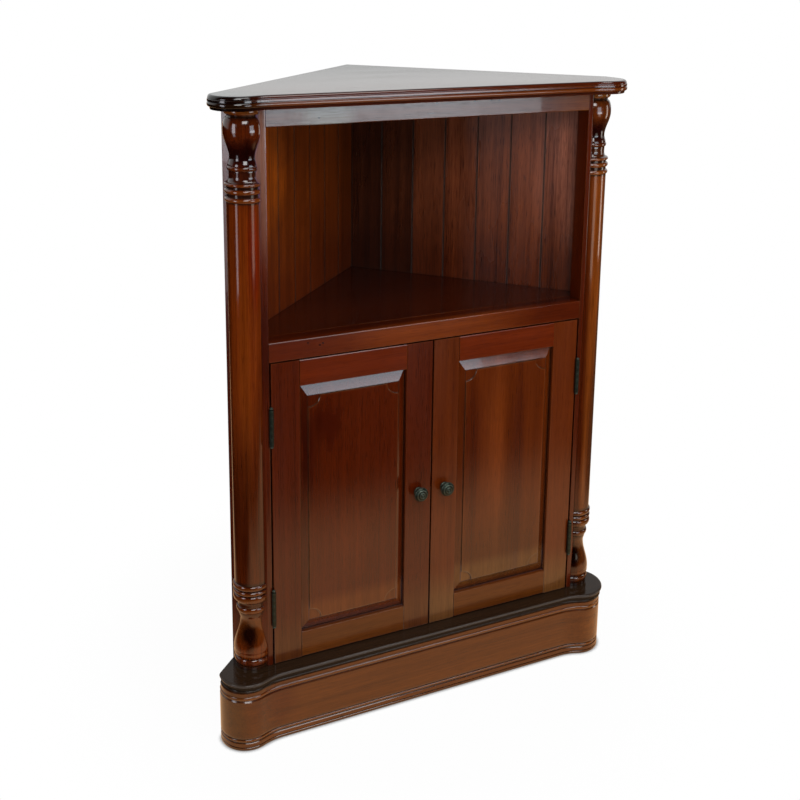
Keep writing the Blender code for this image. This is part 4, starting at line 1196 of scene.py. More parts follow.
@dataclass(frozen=True)
class TopBoard:
    """The top board, with its bead and ovolo along the serpentine front.

    Attributes:
        edge: The serpentine edge.
        thickness: The board's thickness.
        fillet_h: The height of the fillet under the bead.
        bead_h: The bead's height.
        bead_in: How far the bead's ends are drawn in.
        quirk_h: The height of the hollow over the bead.
        ovolo_in: How far the ovolo's foot and its top are drawn in.
        steps: Steps in each moulding.
        smoke: A painted shade that darkens the left end.
    """

    edge: SerpentineEdge = SerpentineEdge(0.0295, 0.0455, 0.100, -0.0065)
    thickness: float = 0.023
    fillet_h: float = 0.0048
    bead_h: float = 0.0080
    bead_in: float = 0.0020
    quirk_h: float = 0.0046
    ovolo_in: tuple[float, float] = (0.0012, 0.0058)
    steps: int = 10
    # Painted shade: darkens the left lobe of the top.
    smoke: Patch = Patch((-0.375, -0.20, 1.106), (0.115, 0.20, 0.06), (0.09, 0.13, 0.22), 0.35)

    def profile(self) -> list[ProfilePoint]:
        """Inset, height, and glazing and painted light, of the edge from its underside up.

        Returns:
            The points.
        """
        low = CARCASS.top_z + self.fillet_h
        band = low + self.bead_h
        quirk = band + self.quirk_h
        top = CARCASS.top_z + self.thickness
        foot, head = self.ovolo_in
        bead = [(v, h, 0.75 * s - 0.45) for v, h, s in bulge(low, band, self.bead_in, 0.0, self.steps)]
        ovolo = []
        for angle in spread(0.0, math.pi / 2, self.steps):
            inset = head - (head - foot) * math.cos(angle)
            ovolo.append((inset, quirk + (top - quirk) * math.sin(angle), -0.2 - 0.8 * math.sin(angle) ** 6))
        # Painted shade in the quirks and under the bead, a painted dark reflection along the ovolo's top and
        # arris, and a painted highlight on the bead's crest.
        return [
            (0.0048, CARCASS.top_z, -0.3), (0.0036, low, -0.5), *bead, (0.0004, band + FIT, -0.5),
            (0.0004, quirk - 0.0012, 0.25), (0.0016, quirk - FIT, -0.9), *ovolo,
            (head + 0.0012, top, -0.7), (head + 0.0027, top, 0.0),
        ]

    def build(self) -> None:
        """Builds and dresses the board."""
        surface = TOP_MAHOGANY.material("top_board", seed=0.4, patches=(self.smoke,))
        shape = self.edge.board(self.profile(), [(0.0, CARCASS.wall_outer)])
        remake("top_board", shape, surface, "cabinet")


@dataclass(frozen=True)
class Plinth:
    """The plinth: a moulded cap, a moulded skirt and two side boards.

    Attributes:
        cap_edge: The cap's serpentine edge.
        skirt_edge: The skirt's serpentine edge.
        height: The skirt's height.
        front_t: The thickness of the skirt's front.
        fillet_h: The height of the cap's fillet.
        cove_h: The height of the cap's cove.
        bead_h: The height of the skirt's upper bead, and of the band over it.
        base_z: The lower and the upper end of the skirt's lower bead.
        arris: The rounding of the side boards.
        steps: Steps in each moulding.
        patches: The left lobe's two shades, a dent and the lighter right lobe.
    """

    cap_edge: SerpentineEdge = SerpentineEdge(0.0285, 0.0488, 0.100, -0.0065)
    skirt_edge: SerpentineEdge = SerpentineEdge(0.0283, 0.0455, 0.100, -0.0098, 0.0030)
    height: float = 0.108
    front_t: float = 0.022
    fillet_h: float = 0.0020
    cove_h: float = 0.0078
    bead_h: float = 0.0070
    base_z: tuple[float, float] = (0.0150, 0.0200)
    arris: float = 0.0008
    steps: int = 8
    patches: tuple[Patch, ...] = (
        Patch((-0.300, -0.212, 0.070), (0.060, 0.08, 0.060), (0.80, 0.60, 0.60)),
        Patch((-0.372, -0.200, 0.060), (0.035, 0.08, 0.080), (0.72, 0.90, 1.50)),
        Patch((-0.1767, -0.2118, 0.0065), (0.006, 0.01, 0.0025), (0.12, 0.15, 0.2), 0.8),
        Patch((0.365, -0.200, 0.060), (0.050, 0.08, 0.090), (1.70, 2.00, 2.2), 0.2),
    )

    def cap_profile(self) -> list[ProfilePoint]:
        """Inset, height, and glazing and painted light, of the cap's edge from its underside up: painted
        shade in the cove and a painted highlight line on the nose's crest.

        Returns:
            The points.
        """
        low = self.height + self.fillet_h
        bead = low + self.cove_h
        # Painted shade in the cove, and a painted highlight line on the nose's crest.
        cove = [(v, h, -0.3 - 0.6 * s) for v, h, s in bulge(low, bead, 0.0028, 0.0044, self.steps)]
        nose = [(v, h, 0.5 * s - 0.1) for v, h, s in bulge(bead, CARCASS.floor_z, 0.0030, 0.0, self.steps)]
        return [(0.0028, self.height, 0.0), *cove[:-1], *nose, (0.0060, CARCASS.floor_z, 0.0)]

    def skirt_profile(self) -> list[ProfilePoint]:
        """Inset, height, and glazing and painted light, of the skirt from the floor up: painted shade in the
        grooves and quirks, and rubbed bead crests with a painted highlight.

        Returns:
            The points.
        """
        top = self.height - self.bead_h
        low = top - self.bead_h
        base = [(v, h, 0.3 - 1.1 * (1 - s)) for v, h, s in bulge(*self.base_z, 0.0018, 0.0, self.steps)]
        bead = [(v, h, 0.8 * s - 0.5) for v, h, s in bulge(low, top, 0.0022, 0.0, self.steps)]
        return [
            (0.0003, 0.0, -0.6), (0.0, 0.0006, -0.5), (0.0, 0.0040, -0.1), (0.0018, 0.00525, -0.9),
            (0.0, 0.0065, 0.0), (0.0, 0.0125, 0.0), (0.0018, 0.01375, -0.9), *base, (0.0, 0.0225, -0.3),
            (0.0, 0.0260, 0.0), (0.0, low - 0.0060, 0.0), (0.0, low - 0.0025, -0.2), *bead,
            (0.0012, top + FIT, -0.5), (0.0012, top + 0.0020, 0.0), (0.0012, self.height - FIT, 0.0),
        ]

    def build(self) -> None:
        """Builds and dresses the plinth."""
        reach, inner = CARCASS.wall_outer, CARCASS.post_back
        cap = self.cap_edge.board(self.cap_profile(), [(0.0, reach)])
        remake("floor_board", cap, CAP_WOOD.material("floor_board", seed=2.3), "cabinet")
        back_y = self.front_t - self.skirt_edge.overhang
        shared = [((reach + inner) / 2, (reach - inner) / 2), (inner + back_y, back_y)]
        skirt = self.skirt_edge.board(self.skirt_profile(), shared)
        surface = SKIRT_WOOD.material("plinth_front", seed=5.1, patches=self.patches)
        remake("plinth_front", skirt, surface, "cabinet")
        for node, wood, seed in (("plinth_right", SKIRT_RIGHT, 6.0), ("plinth_left", SKIRT_LEFT, 7.0)):
            recut(node, wood.material(node, seed), "cabinet", arris=self.arris)


class Turning:
    """Draws the profile of a turned piece from the top down."""

    def __init__(self, height: float, steps: int) -> None:
        """Starts the profile on the axis.

        Args:
            height: The height of its first point.
            steps: How many steps a moulding has.
        """
        self.height = height
        self.steps = steps
        self.points: list[ProfilePoint] = [(0.0, height, 0.0)]

    def point(self, radius: float, glaze: float, below: float = 0.0) -> None:
        """Adds a point a little below the height reached so far."""
        self.points.append((radius, self.height - below, glaze))

    def drop(self, fall: float, radii: Point, tints: tuple[float, float]) -> None:
        """Adds a bead or a hollow.

        Args:
            fall: Its height.
            radii: The radius above it, at its crest and below it.
            tints: The glazing and painted light at its ends and at its crest.
        """
        for bump, level, share in bulge(self.height, self.height - fall, 0.0, 1.0, self.steps):
            down = (self.height - level) / fall
            edge = radii[0] + (radii[2] - radii[0]) * down
            radius = edge + (radii[1] - edge) * bump
            self.points.append((radius, level, tints[0] + (tints[1] - tints[0]) * share))
        self.height -= fall

    def slope(self, fall: float, radii: tuple[float, float], tints: tuple[float, float]) -> None:
        """Adds an S-shaped run.

        Args:
            fall: Its height.
            radii: The radius above and below it.
            tints: The glazing and painted light above and below it.
        """
        for share in spread(0.0, 1.0, 2 * self.steps)[1:]:
            ease = (1 - math.cos(math.pi * share)) / 2
            radius = radii[0] + (radii[1] - radii[0]) * ease
            self.point(radius, tints[0] + (tints[1] - tints[0]) * ease, fall * share)
        self.height -= fall

    def shoulder(self, fall: float, radii: tuple[float, float], tints: tuple[float, float]) -> None:
        """Adds a quarter round that ends upright.

        Args:
            fall: Its height.
            radii: The radius above and below it.
            tints: The glazing and painted light above and below it.
        """
        for angle in spread(0.0, math.pi / 2, self.steps)[1:]:
            swell = math.sin(angle)
            radius = radii[0] + (radii[1] - radii[0]) * swell
            self.point(radius, tints[0] + (tints[1] - tints[0]) * swell, fall * (1 - math.cos(angle)))
        self.height -= fall

    def rings(self, neck: float, crest: float, falls: Sequence[float], gaps: Sequence[float]) -> None:
        """Adds a run of beads with quirks between them.

        Args:
            neck: The radius between the beads.
            crest: The radius of the beads.
            falls: The height of each bead.
            gaps: The height of each quirk.
        """
        for index, fall in enumerate(falls):
            self.drop(fall, (neck, crest, neck), (-0.8, 0.35))
            if index < len(gaps):
                self.point(neck, -0.85, gaps[index] / 2)
                self.height -= gaps[index]


@dataclass(frozen=True)
class Columns:
    """The two turned half columns.

    Attributes:
        segments: Segments in a full turn.
        steps: Steps in each moulding.
        ring_r: The radius of the grouped rings.
        ring_neck_r: The radius between them.
        shaft_r: The radius of the shaft.
        shaft_low: The height of the shaft's lower end.
        foot_r: The radius of the round foot.
        sink: How far the split face lies before the turning's axis.
        shift: How far the axis sits towards the opening.
        middle: What the patches are placed from, as a distance from the middle plane and a depth.
        ends: Painted shade on the foot's pear, on the neck and on the upper turning.
        shades: For each side, painted shade low on the column and along its edges, and lighter and redder
            places on the left shaft.
    """

    segments: int = 96
    steps: int = 10
    ring_r: float = 0.0326
    ring_neck_r: float = 0.0292
    shaft_r: float = 0.0299
    shaft_low: float = 0.2820
    foot_r: float = 0.0310
    sink: float = 0.0075
    shift: float = 0.0012
    middle: tuple[float, float] = (0.3275, 0.0292)
    # Painted shade on the pear, the neck and the upper turning.
    ends: tuple[Patch, ...] = (
        Patch((-0.014, -0.026, 0.188), (0.026, 0.034, 0.038), (0.07, 0.06, 0.15), 0.25),
        Patch((0.0, -0.02, 1.020), (0.06, 0.06, 0.034), (0.30, 0.18, 0.4), 0.3),
        Patch((0.0, 0.0, 1.020), (0.09, 0.09, 0.115), (0.55, 0.45, 0.5), 0.15),
    )
    # Mostly painted shade, low on each column and along its edges; the left shaft also has lighter and redder
    # places.
    shades: ClassVar[dict[Side, tuple[Patch, ...]]] = {
        Side.RIGHT: (
            Patch((0.0, 0.0, 0.19), (0.09, 0.09, 0.17), (0.42, 0.36, 0.4), 0.15),
            Patch((0.020, -0.018, 0.42), (0.036, 0.036, 0.32), (0.34, 0.27, 0.32), 0.2),
            Patch((-0.015, -0.026, 0.45), (0.016, 0.016, 0.9), (0.36, 0.22, 0.16), 0.2),
        ),
        Side.LEFT: (
            Patch((0.0, 0.0, 0.40), (0.08, 0.08, 0.26), (0.36, 0.33, 0.45), 0.2),
            Patch((-0.012, -0.02, 0.62), (0.012, 0.05, 0.30), (1.1, 1.25, 1.1), 0.3),
            Patch((0.006, -0.03, 0.86), (0.016, 0.05, 0.12), (1.1, 0.6, 0.7), 0.3),
        ),
    }

    def profile(self) -> list[ProfilePoint]:
        """Radius, height, and glazing and painted light, down one column.

        Returns:
            The points.
        """
        line = Turning(CARCASS.top_z - FIT, self.steps)
        line.drop(0.0104, (0.0280, 0.0318, 0.0280), (-0.6, 0.6))
        line.point(0.0268, -0.9, 0.00225)
        line.height -= 0.0045
        line.point(0.0280, -0.8)
        line.shoulder(0.0215, (0.0280, 0.0336), (-0.5, -0.10))
        # The bulb's taper darkens downwards with painted shade.
        line.slope(0.0430, (0.0336, 0.0239), (-0.10, -0.60))
        line.slope(0.0122, (0.0239, 0.0264), (-0.60, -0.2))
        line.drop(0.0080, (0.0252, 0.0279, 0.0252), (-0.8, 0.35))
        line.drop(0.0186, (0.0252, 0.0250, 0.0300), (-0.70, -0.55))
        line.rings(self.ring_neck_r, self.ring_r, (0.0060, 0.0085, 0.0082), (0.0037, 0.0051))
        line.point(self.shaft_r, -0.8, FIT)
        line.point(self.shaft_r, 0.0, 0.0040)
        line.height = self.shaft_low
        line.point(self.shaft_r, 0.0, -0.0070)
        line.point(self.shaft_r, -0.9, -FIT)
        line.rings(self.ring_neck_r, self.ring_r, (0.0098, 0.0080, 0.0132), (0.0010, 0.0010))
        line.drop(0.0113, (0.0300, 0.0250, 0.0252), (-0.60, -0.50))
        line.drop(0.0105, (0.0252, 0.0279, 0.0252), (-0.8, 0.3))
        line.slope(0.0160, (0.0252, 0.0222), (-0.6, 0.30))
        line.slope(0.0560, (0.0222, 0.0328), (0.30, 0.0))
        line.drop(0.0120, (0.0328, 0.0328, 0.0282), (-0.1, 0.10))
        line.drop(0.0135, (0.0282, 0.0326, 0.0282), (-0.8, -0.2))
        line.point(self.foot_r, -0.8, FIT)
        line.height = CARCASS.floor_z + FIT
        line.point(self.foot_r, -0.9)
        line.point(0.0, 0.0)
        return line.points

    def build(self) -> None:
        """Builds and dresses both columns."""
        for side in Side:
            node = f"{side.word}_column"
            wood = GOLDEN_COLUMN if side is Side.RIGHT else COLUMN_WOOD
            x, y = side.value * self.middle[0] + SHIFT.x, self.middle[1] + SHIFT.y
            patches = [patch.moved(x, y) for patch in (*self.ends, *self.shades[side])]
            surface = wood.material(node, seed=3.0 + side.value, patches=patches)
            shape = turned(self.profile(), self.segments, surface)
            geometry = shape.verts[:] + shape.edges[:] + shape.faces[:]
            face = (self.sink + FIT, 0.0, 0.0)
            cut = bmesh.ops.bisect_plane(
                shape, geom=geometry, plane_co=face, plane_no=(1.0, 0.0, 0.0), clear_inner=True
            )
            rim = [item for item in cut["geom_cut"] if isinstance(item, bmesh.types.BMEdge)]
            bmesh.ops.contextual_create(shape, geom=rim)
            swing(shape, -45.0 if side is Side.RIGHT else -135.0, "Z")
            inwards, across = self.sink / ROOT2, self.shift / ROOT2
            x = side.value * (CARCASS.post_edge_x + CARCASS.facet_run / 2 - inwards - across)
            y = CARCASS.facet_run / 2 + inwards - across
            remake(node, shape, surface, "cabinet", SHIFT + Vector((x, y, 0.0)))


@dataclass(frozen=True)
class PlankWall:
    """A wall of tongue-and-groove planks with a V joint between each two.

    Attributes:
        side: The wall's side.
        finish: The planks' wood.
        slot: The name of a material slot; it is not used.
        tones: The tone of each plank from the back corner; besides each plank's own tone, their rise towards
            the front is partly painted light.
        start: Where the first plank starts, from the back corner along the wall.
        seed: Where in the timber the planks are cut from.
        patches: A painted shade near the shelf, and painted light above it.
        width: A plank's width.
        tongue: The tongue's thickness and length.
        chamfer: The width of a V joint's slope.
    """

    side: Side
    finish: Wood
    slot: str
    tones: tuple[float, ...]
    start: float
    seed: float
    patches: tuple[Patch, ...]
    width: float = 0.065325
    tongue: tuple[float, float] = (0.006, 0.006)
    chamfer: float = 0.0008

    def section(self, start: float, end: float, has_tongue: bool) -> list[ProfilePoint]:
        """A plank's section as run along the wall, depth from its inner face, and glaze.

        Args:
            start: Where it starts along the wall.
            end: Where it ends.
            has_tongue: Whether it has a tongue and a chamfer towards the back corner.

        Returns:
            The points.
        """
        mid, half = CARCASS.wall_t / 2, self.tongue[0] / 2
        first, last = start + FIT / 2, end - FIT / 2
        points = [(first, CARCASS.wall_t, 0.0), (first, mid + half, -1.0)]
        if has_tongue:
            tip = first - self.tongue[1]
            points += [(tip, mid + half, -1.0), (tip, mid - half, -1.0), (first, mid - half, -1.0)]
            points += [(first, self.chamfer, -1.0), (first + self.chamfer, 0.0, -0.75)]
        else:
            points += [(first, mid - half, -1.0), (first, FIT, -0.8), (first + FIT, 0.0, -0.8)]
        points += [(first + 3 * self.chamfer, 0.0, 0.0), (last - 3 * self.chamfer, 0.0, 0.0)]
        points += [(last - self.chamfer, 0.0, -0.75), (last, self.chamfer, -1.0), (last, CARCASS.wall_t, 0.0)]
        return points

    def plank(self, start: float, end: float, has_tongue: bool) -> Shape:
        """One plank in place.

        Args:
            start: Where it starts along the wall.
            end: Where it ends.
            has_tongue: Whether it has a tongue and a chamfer towards the back corner.

        Returns:
            The shape.
        """
        inner = CARCASS.wall_outer - CARCASS.wall_t * ROOT2
        section = self.section(start, end, has_tongue)
        plan = [
            (self.side.value * (run + depth) / ROOT2, inner + (depth - run) / ROOT2)
            for run, depth, _ in section
        ]
        heights = (CARCASS.floor_z + FIT, CARCASS.top_z - FIT)
        shape = bmesh.new()
        rings = [[(x, y, height) for x, y in plan] for height in heights]
        loft(shape, rings, [[glaze for *_, glaze in section]] * 2)
        bmesh.ops.recalc_face_normals(shape, faces=shape.faces)
        return shape

    def build(self) -> None:
        """Builds and dresses the wall."""
        name = f"{self.side.word}_planks"
        surface = self.finish.material(name, seed=self.seed, boards=self.tones, patches=self.patches)
        count = len(self.tones)
        origin = (0.0, 0.0, 0.0)
        along = (self.side.value * self.width / ROOT2, -self.width / ROOT2, 0.0)
        full = self.plank(self.width, 2 * self.width, True)
        wall = row_of(full, count - 1, origin, along, surface, first=1.0)
        join(wall, row_of(self.plank(self.start, self.width, False), 1, origin, along, surface))
        nodes = [f"{self.side.word}_plank_{number + 1}" for number in range(count)]
        piece(name, finished(wall, name), surface, "cabinet", nodes)


@dataclass(frozen=True)
class Shell:
    """Posts, plank walls, rail, shelf and cleats of the fixed cabinet.

    Attributes:
        walls: The two plank walls, each with painted light above and a painted shade near the shelf.
        dents: Small dents in the top rail, across and up.
        bruises: Small dents in the shelf's edge.
        post_sheen_and_shade: The left post's painted sheen and the painted shade under it.
        rail_tone_and_sheen: The rail's browner right end, and a painted bluish sheen at its left.
        shelf_sheen_and_shade: A painted sheen on the edge's middle, and a painted shade on its top behind its
            front face.
    """

    walls: tuple[PlankWall, ...] = (
        PlankWall(
            Side.RIGHT, DARK_PLANKS, "dark_planks", (0.50, 0.60, 1.22, 1.50, 1.35, 1.28, 1.70), FIT, 11.0,
            (
                # A painted shade near the shelf, and a painted bluish sheen on the front planks above.
                Patch((SHIFT.x, 0.0, 0.69), (0.8, 0.8, 0.22), (0.50, 0.38, 0.30), 0.4),
                Patch((0.318, -0.108, 0.99), (0.080, 0.080, 0.24), (1.80, 2.50, 4.20), 0.3),
            ),
        ),
        PlankWall(
            Side.LEFT, GOLDEN_PLANKS, "golden_planks", (0.72, 0.85, 1.0, 0.95, 0.85, 1.05, 1.3),
            -CARCASS.wall_t, 31.0,
            (
                # A painted golden pool of light above, and a painted shade near the shelf.
                Patch((-0.270, -0.080, 0.98), (0.11, 0.11, 0.20), (2.20, 2.40, 1.20), 0.5),
                Patch((SHIFT.x, 0.0, 0.70), (0.8, 0.8, 0.20), (0.76, 0.64, 0.8), 0.4),
            ),
        ),
    )
    dents: tuple[tuple[float, float], ...] = (
        (-0.2053, 1.075), (0.0034, 1.090), (0.0752, 1.0904), (0.1061, 1.0908), (0.1217, 1.0901),
    )
    bruises: tuple[tuple[float, float], ...] = ((-0.2261, 0.7024), (-0.2051, 0.696), (-0.1997, 0.6987))
    # A painted bluish sheen high on the left post, and painted shade below it.
    post_sheen_and_shade: tuple[Patch, ...] = (
        Patch((-0.298, SHIFT.y, 1.06), (0.04, 0.1, 0.26), (2.2, 8.0, 80.0), 0.2),
        Patch((-0.298, SHIFT.y, 0.70), (0.04, 0.1, 0.14), (0.55, 0.45, 0.5), 0.2),
    )
    rail_tone_and_sheen: tuple[Patch, ...] = (
        Patch((0.330, SHIFT.y, 1.085), (0.150, 0.1, 0.2), (1.7, 2.1, 0.9), 0.4),
        # A painted bluish sheen at the rail's left.
        Patch((-0.190, SHIFT.y, 1.080), (0.066, 0.1, 0.1), (1.8, 8.6, 52.0), 0.5),
    )
    # A painted sheen on the edge's middle, and a painted shade on the edge's top behind its front face.
    shelf_sheen_and_shade: tuple[Patch, ...] = (
        Patch((0.02, SHIFT.y, 0.70), (0.24, 0.1, 0.2), (1.85, 2.8, 5.6), 0.2),
        Patch((SHIFT.x, SHIFT.y + 0.023, 0.715), (0.8, 0.019, 0.1), (0.30, 0.22, 0.3), 0.05),
    )

    @staticmethod
    def marks(places: Sequence[tuple[float, float]]) -> list[Patch]:
        """Small dark dents in a front board."""
        return [Patch((x, SHIFT.y, z), (0.0028, 0.01, 0.0022), (0.10, 0.12, 0.2), 0.8) for x, z in places]

    def build(self) -> None:
        """Dresses the walls and the boards."""
        for wall in self.walls:
            wall.build()
        for side in Side:
            name = f"{side.word}_post"
            surface = MAHOGANY.material(name, seed=8.0 + side.value, patches=self.post_sheen_and_shade)
            recut(name, surface, "cabinet", arris=0.0008)
        rail = RAIL_WOOD.material("top_rail", 1.1, patches=(*self.rail_tone_and_sheen, *self.marks(self.dents)))
        recut("top_rail", rail, "cabinet")
        edge_patches = (*self.shelf_sheen_and_shade, *self.marks(self.bruises))
        edge = ORANGE_RAIL.material("shelf_edge", 1.9, 0.64, patches=edge_patches)
        recut("shelf_edge", edge, "cabinet")
        recut("shelf_board", SHADED_DECK_WOOD.material("shelf_board", 4.4), "cabinet", arris=0.0003)
        for place in ("shelf_cleat_left", "shelf_cleat_right", "top_cleat_left", "top_cleat_right"):
            recut(place, DEAL.material(place, seed=1.0), "cabinet", arris=0.0006)


@dataclass(frozen=True)
class RaisedPanel:
    """A door's raised panel: tongue, bevel, and a field with scooped corners.

    Attributes:
        inner_x: The edge next to the meeting stile.
        outer_x: The edge next to the hinge stile.
        low: The edge over the bottom rail.
        high: The edge under the top rail.
        tongue: How far the tongue runs into the frame.
        tongue_y: The tongue's front and back.
        field_y: The depth of the field.
        ledge_y: The depth of the bevel's inner edge.
        margins: The bevel's width at the sides, below and above.
        ledge: The width of the step between bevel and field.
        scoop: The width and height of a corner's scoop.
        steps: Steps in a scoop.
    """

    inner_x: float = 0.05125
    outer_x: float = 0.2472
    low: float = 0.1733
    high: float = 0.6288
    tongue: float = 0.0080
    tongue_y: tuple[float, float] = (0.0093, 0.0147)
    field_y: float = 0.0015
    ledge_y: float = 0.0035
    margins: Point = (0.0145, 0.0190, 0.0200)
    ledge: float = 0.0006
    scoop: tuple[float, float] = (0.0210, 0.0200)
    steps: int = 14

    def rectangle(self, across: float, down: float, up: float, depth: float) -> list[Point]:
        """A rectangle drawn in from the panel's edges, at a depth.

        Args:
            across: How far its sides are drawn in.
            down: How far its lower edge is drawn in.
            up: How far its upper edge is drawn in.
            depth: Its depth.

        Returns:
            The corners.
        """
        x0, x1 = self.inner_x + across, self.outer_x - across
        z0, z1 = self.low + down, self.high - up
        return [(x0, depth, z0), (x1, depth, z0), (x1, depth, z1), (x0, depth, z1)]

    def field(self, inset: float, depth: float) -> list[Point]:
        """The field's outline at a depth.

        Args:
            inset: How far it is drawn in.
            depth: Its depth.

        Returns:
            The points.
        """
        sides, below, above = (margin + self.ledge + inset for margin in self.margins)
        x0, x1 = self.inner_x + sides, self.outer_x - sides
        z0, z1 = self.low + below, self.high - above
        outline = []
        for turn_x, turn_z in ((-1, -1), (1, -1), (1, 1), (-1, 1)):
            corner = []
            for angle in spread(math.pi / 2, 0.0, self.steps):
                x = (x1 - x0) / 2 - self.scoop[0] * math.cos(angle)
                z = (z1 - z0) / 2 - self.scoop[1] * math.sin(angle)
                corner.append(((x0 + x1) / 2 + turn_x * x, depth, (z0 + z1) / 2 + turn_z * z))
            if turn_x * turn_z < 0:
                corner.reverse()
            outline += corner
        return outline

    def build(self, side: Side, surface: bpy.types.Material) -> None:
        """Builds and dresses one panel.

        Args:
            side: The door's side.
            surface: The material.
        """
        sides, below, above = self.margins
        front, back = self.tongue_y
        # Dark values paint a shadow at the foot of the bevel and along its inner edge; the light line near
        # its outer edge is a painted highlight.
        rows = (
            (-self.tongue, -self.tongue, -self.tongue, back, 0.0),
            (-self.tongue, -self.tongue, -self.tongue, front, 0.0),
            (FIT, FIT, FIT, front, -0.9),
            (0.0022, 0.0022, 0.0022, front - 0.0008, 0.18),
            (0.0040, 0.0040, 0.0040, front - 0.0014, 0.0),
            (sides - 0.0015, below - 0.0015, above - 0.0015, self.ledge_y + 0.0005, 0.0),
            (sides, below, above, self.ledge_y, -0.6),
            (sides + 0.0012, below + 0.0012, above + 0.0012, self.ledge_y, 0.0),
        )
        # Dark values paint the shadow under the step up to the field, and the light value paints a highlight
        # on the field's arris.
        levels = (
            (0.0, self.ledge_y + 0.0010, -0.9), (0.0, self.ledge_y - 0.0001, -0.9),
            (0.0002, self.field_y + 0.0006, -0.9), (0.0005, self.field_y + 0.0001, -0.5),
            (0.0010, self.field_y, 0.14), (0.0022, self.field_y, 0.0),
        )
        shape = bmesh.new()
        loft(shape, [self.rectangle(*row[:4]) for row in rows], [[row[4]] * 4 for row in rows])
        rings = [self.field(inset, depth) for inset, depth, _ in levels]
        loft(shape, rings, [[glaze] * len(ring) for ring, (_, _, glaze) in zip(rings, levels)])
        if side is Side.LEFT:
            bmesh.ops.scale(shape, verts=shape.verts, vec=(-1.0, 1.0, 1.0))
        remake(f"{side.door}_panel", shape, surface, side.door, angle=FLAT_ANGLE)


@dataclass(frozen=True)
class Knob:
    """A turned bronze knob with rings on its face, and its screw.

    Attributes:
        x: Its distance from the middle plane.
        z: Its height.
        segments: Segments in a turn.
        face: Radius, distance from the door and glaze of its ringed face.
        neck: The same for its neck.
        rose: The same for its rose.
    """

    x: float = 0.0260
    z: float = 0.3950
    segments: int = 64
    face: tuple[ProfilePoint, ...] = (
        (0.0, 0.0214, 0.3), (0.0008, 0.0214, 0.5), (0.0018, 0.0209, 0.5), (0.0024, 0.0202, -0.3),
        (0.0030, 0.0198, -0.6), (0.0036, 0.0200, 0.1), (0.0044, 0.0204, 0.9), (0.0052, 0.0203, 0.8),
        (0.0059, 0.0197, 0.0), (0.0066, 0.0189, -0.6), (0.0073, 0.0187, -0.5), (0.0081, 0.0189, 0.3),
        (0.0090, 0.0189, 0.9), (0.0098, 0.0184, 0.6), (0.0105, 0.0175, -0.2), (0.0111, 0.0166, -0.5),
        (0.0117, 0.0161, 0.0), (0.0124, 0.0154, 0.5), (0.0129, 0.0143, 0.6), (0.0130, 0.0132, 0.4),
        (0.0127, 0.0120, 0.0), (0.0119, 0.0111, -0.3), (0.0100, 0.0106, -0.5), (0.0075, 0.0103, -0.5),
    )
    neck: tuple[ProfilePoint, ...] = (
        (0.0058, 0.0098, -0.5), (0.0049, 0.0086, -0.3), (0.0047, 0.0068, -0.2), (0.0048, 0.0048, -0.3),
    )
    rose: tuple[ProfilePoint, ...] = (
        (0.0054, 0.0034, -0.5), (0.0062, 0.0027, -0.2), (0.0071, 0.0024, 0.3), (0.0080, 0.0020, 0.5),
        (0.0084, 0.0013, 0.2), (0.0085, 0.0008, 0.0), (0.0085, FIT, -0.5), (0.0, FIT, 0.0),
    )

    def build(self, side: Side) -> None:
        """Builds and dresses the knob, and dresses its screw and the door's strike.

        Args:
            side: The door's side.
        """
        surface = BRONZE.material(f"{side.door}_knob")
        shape = turned((*self.face, *self.neck, *self.rose), self.segments, surface)
        swing(shape, 90.0, "X")
        where = SHIFT + Vector((side.value * self.x, 0.0, self.z))
        remake(f"{side.door}_knob", shape, surface, side.door, where)
        for node in (f"{side.door}_knob_screw", f"{side.door}_strike"):
            dress(node, STEEL.material(node))


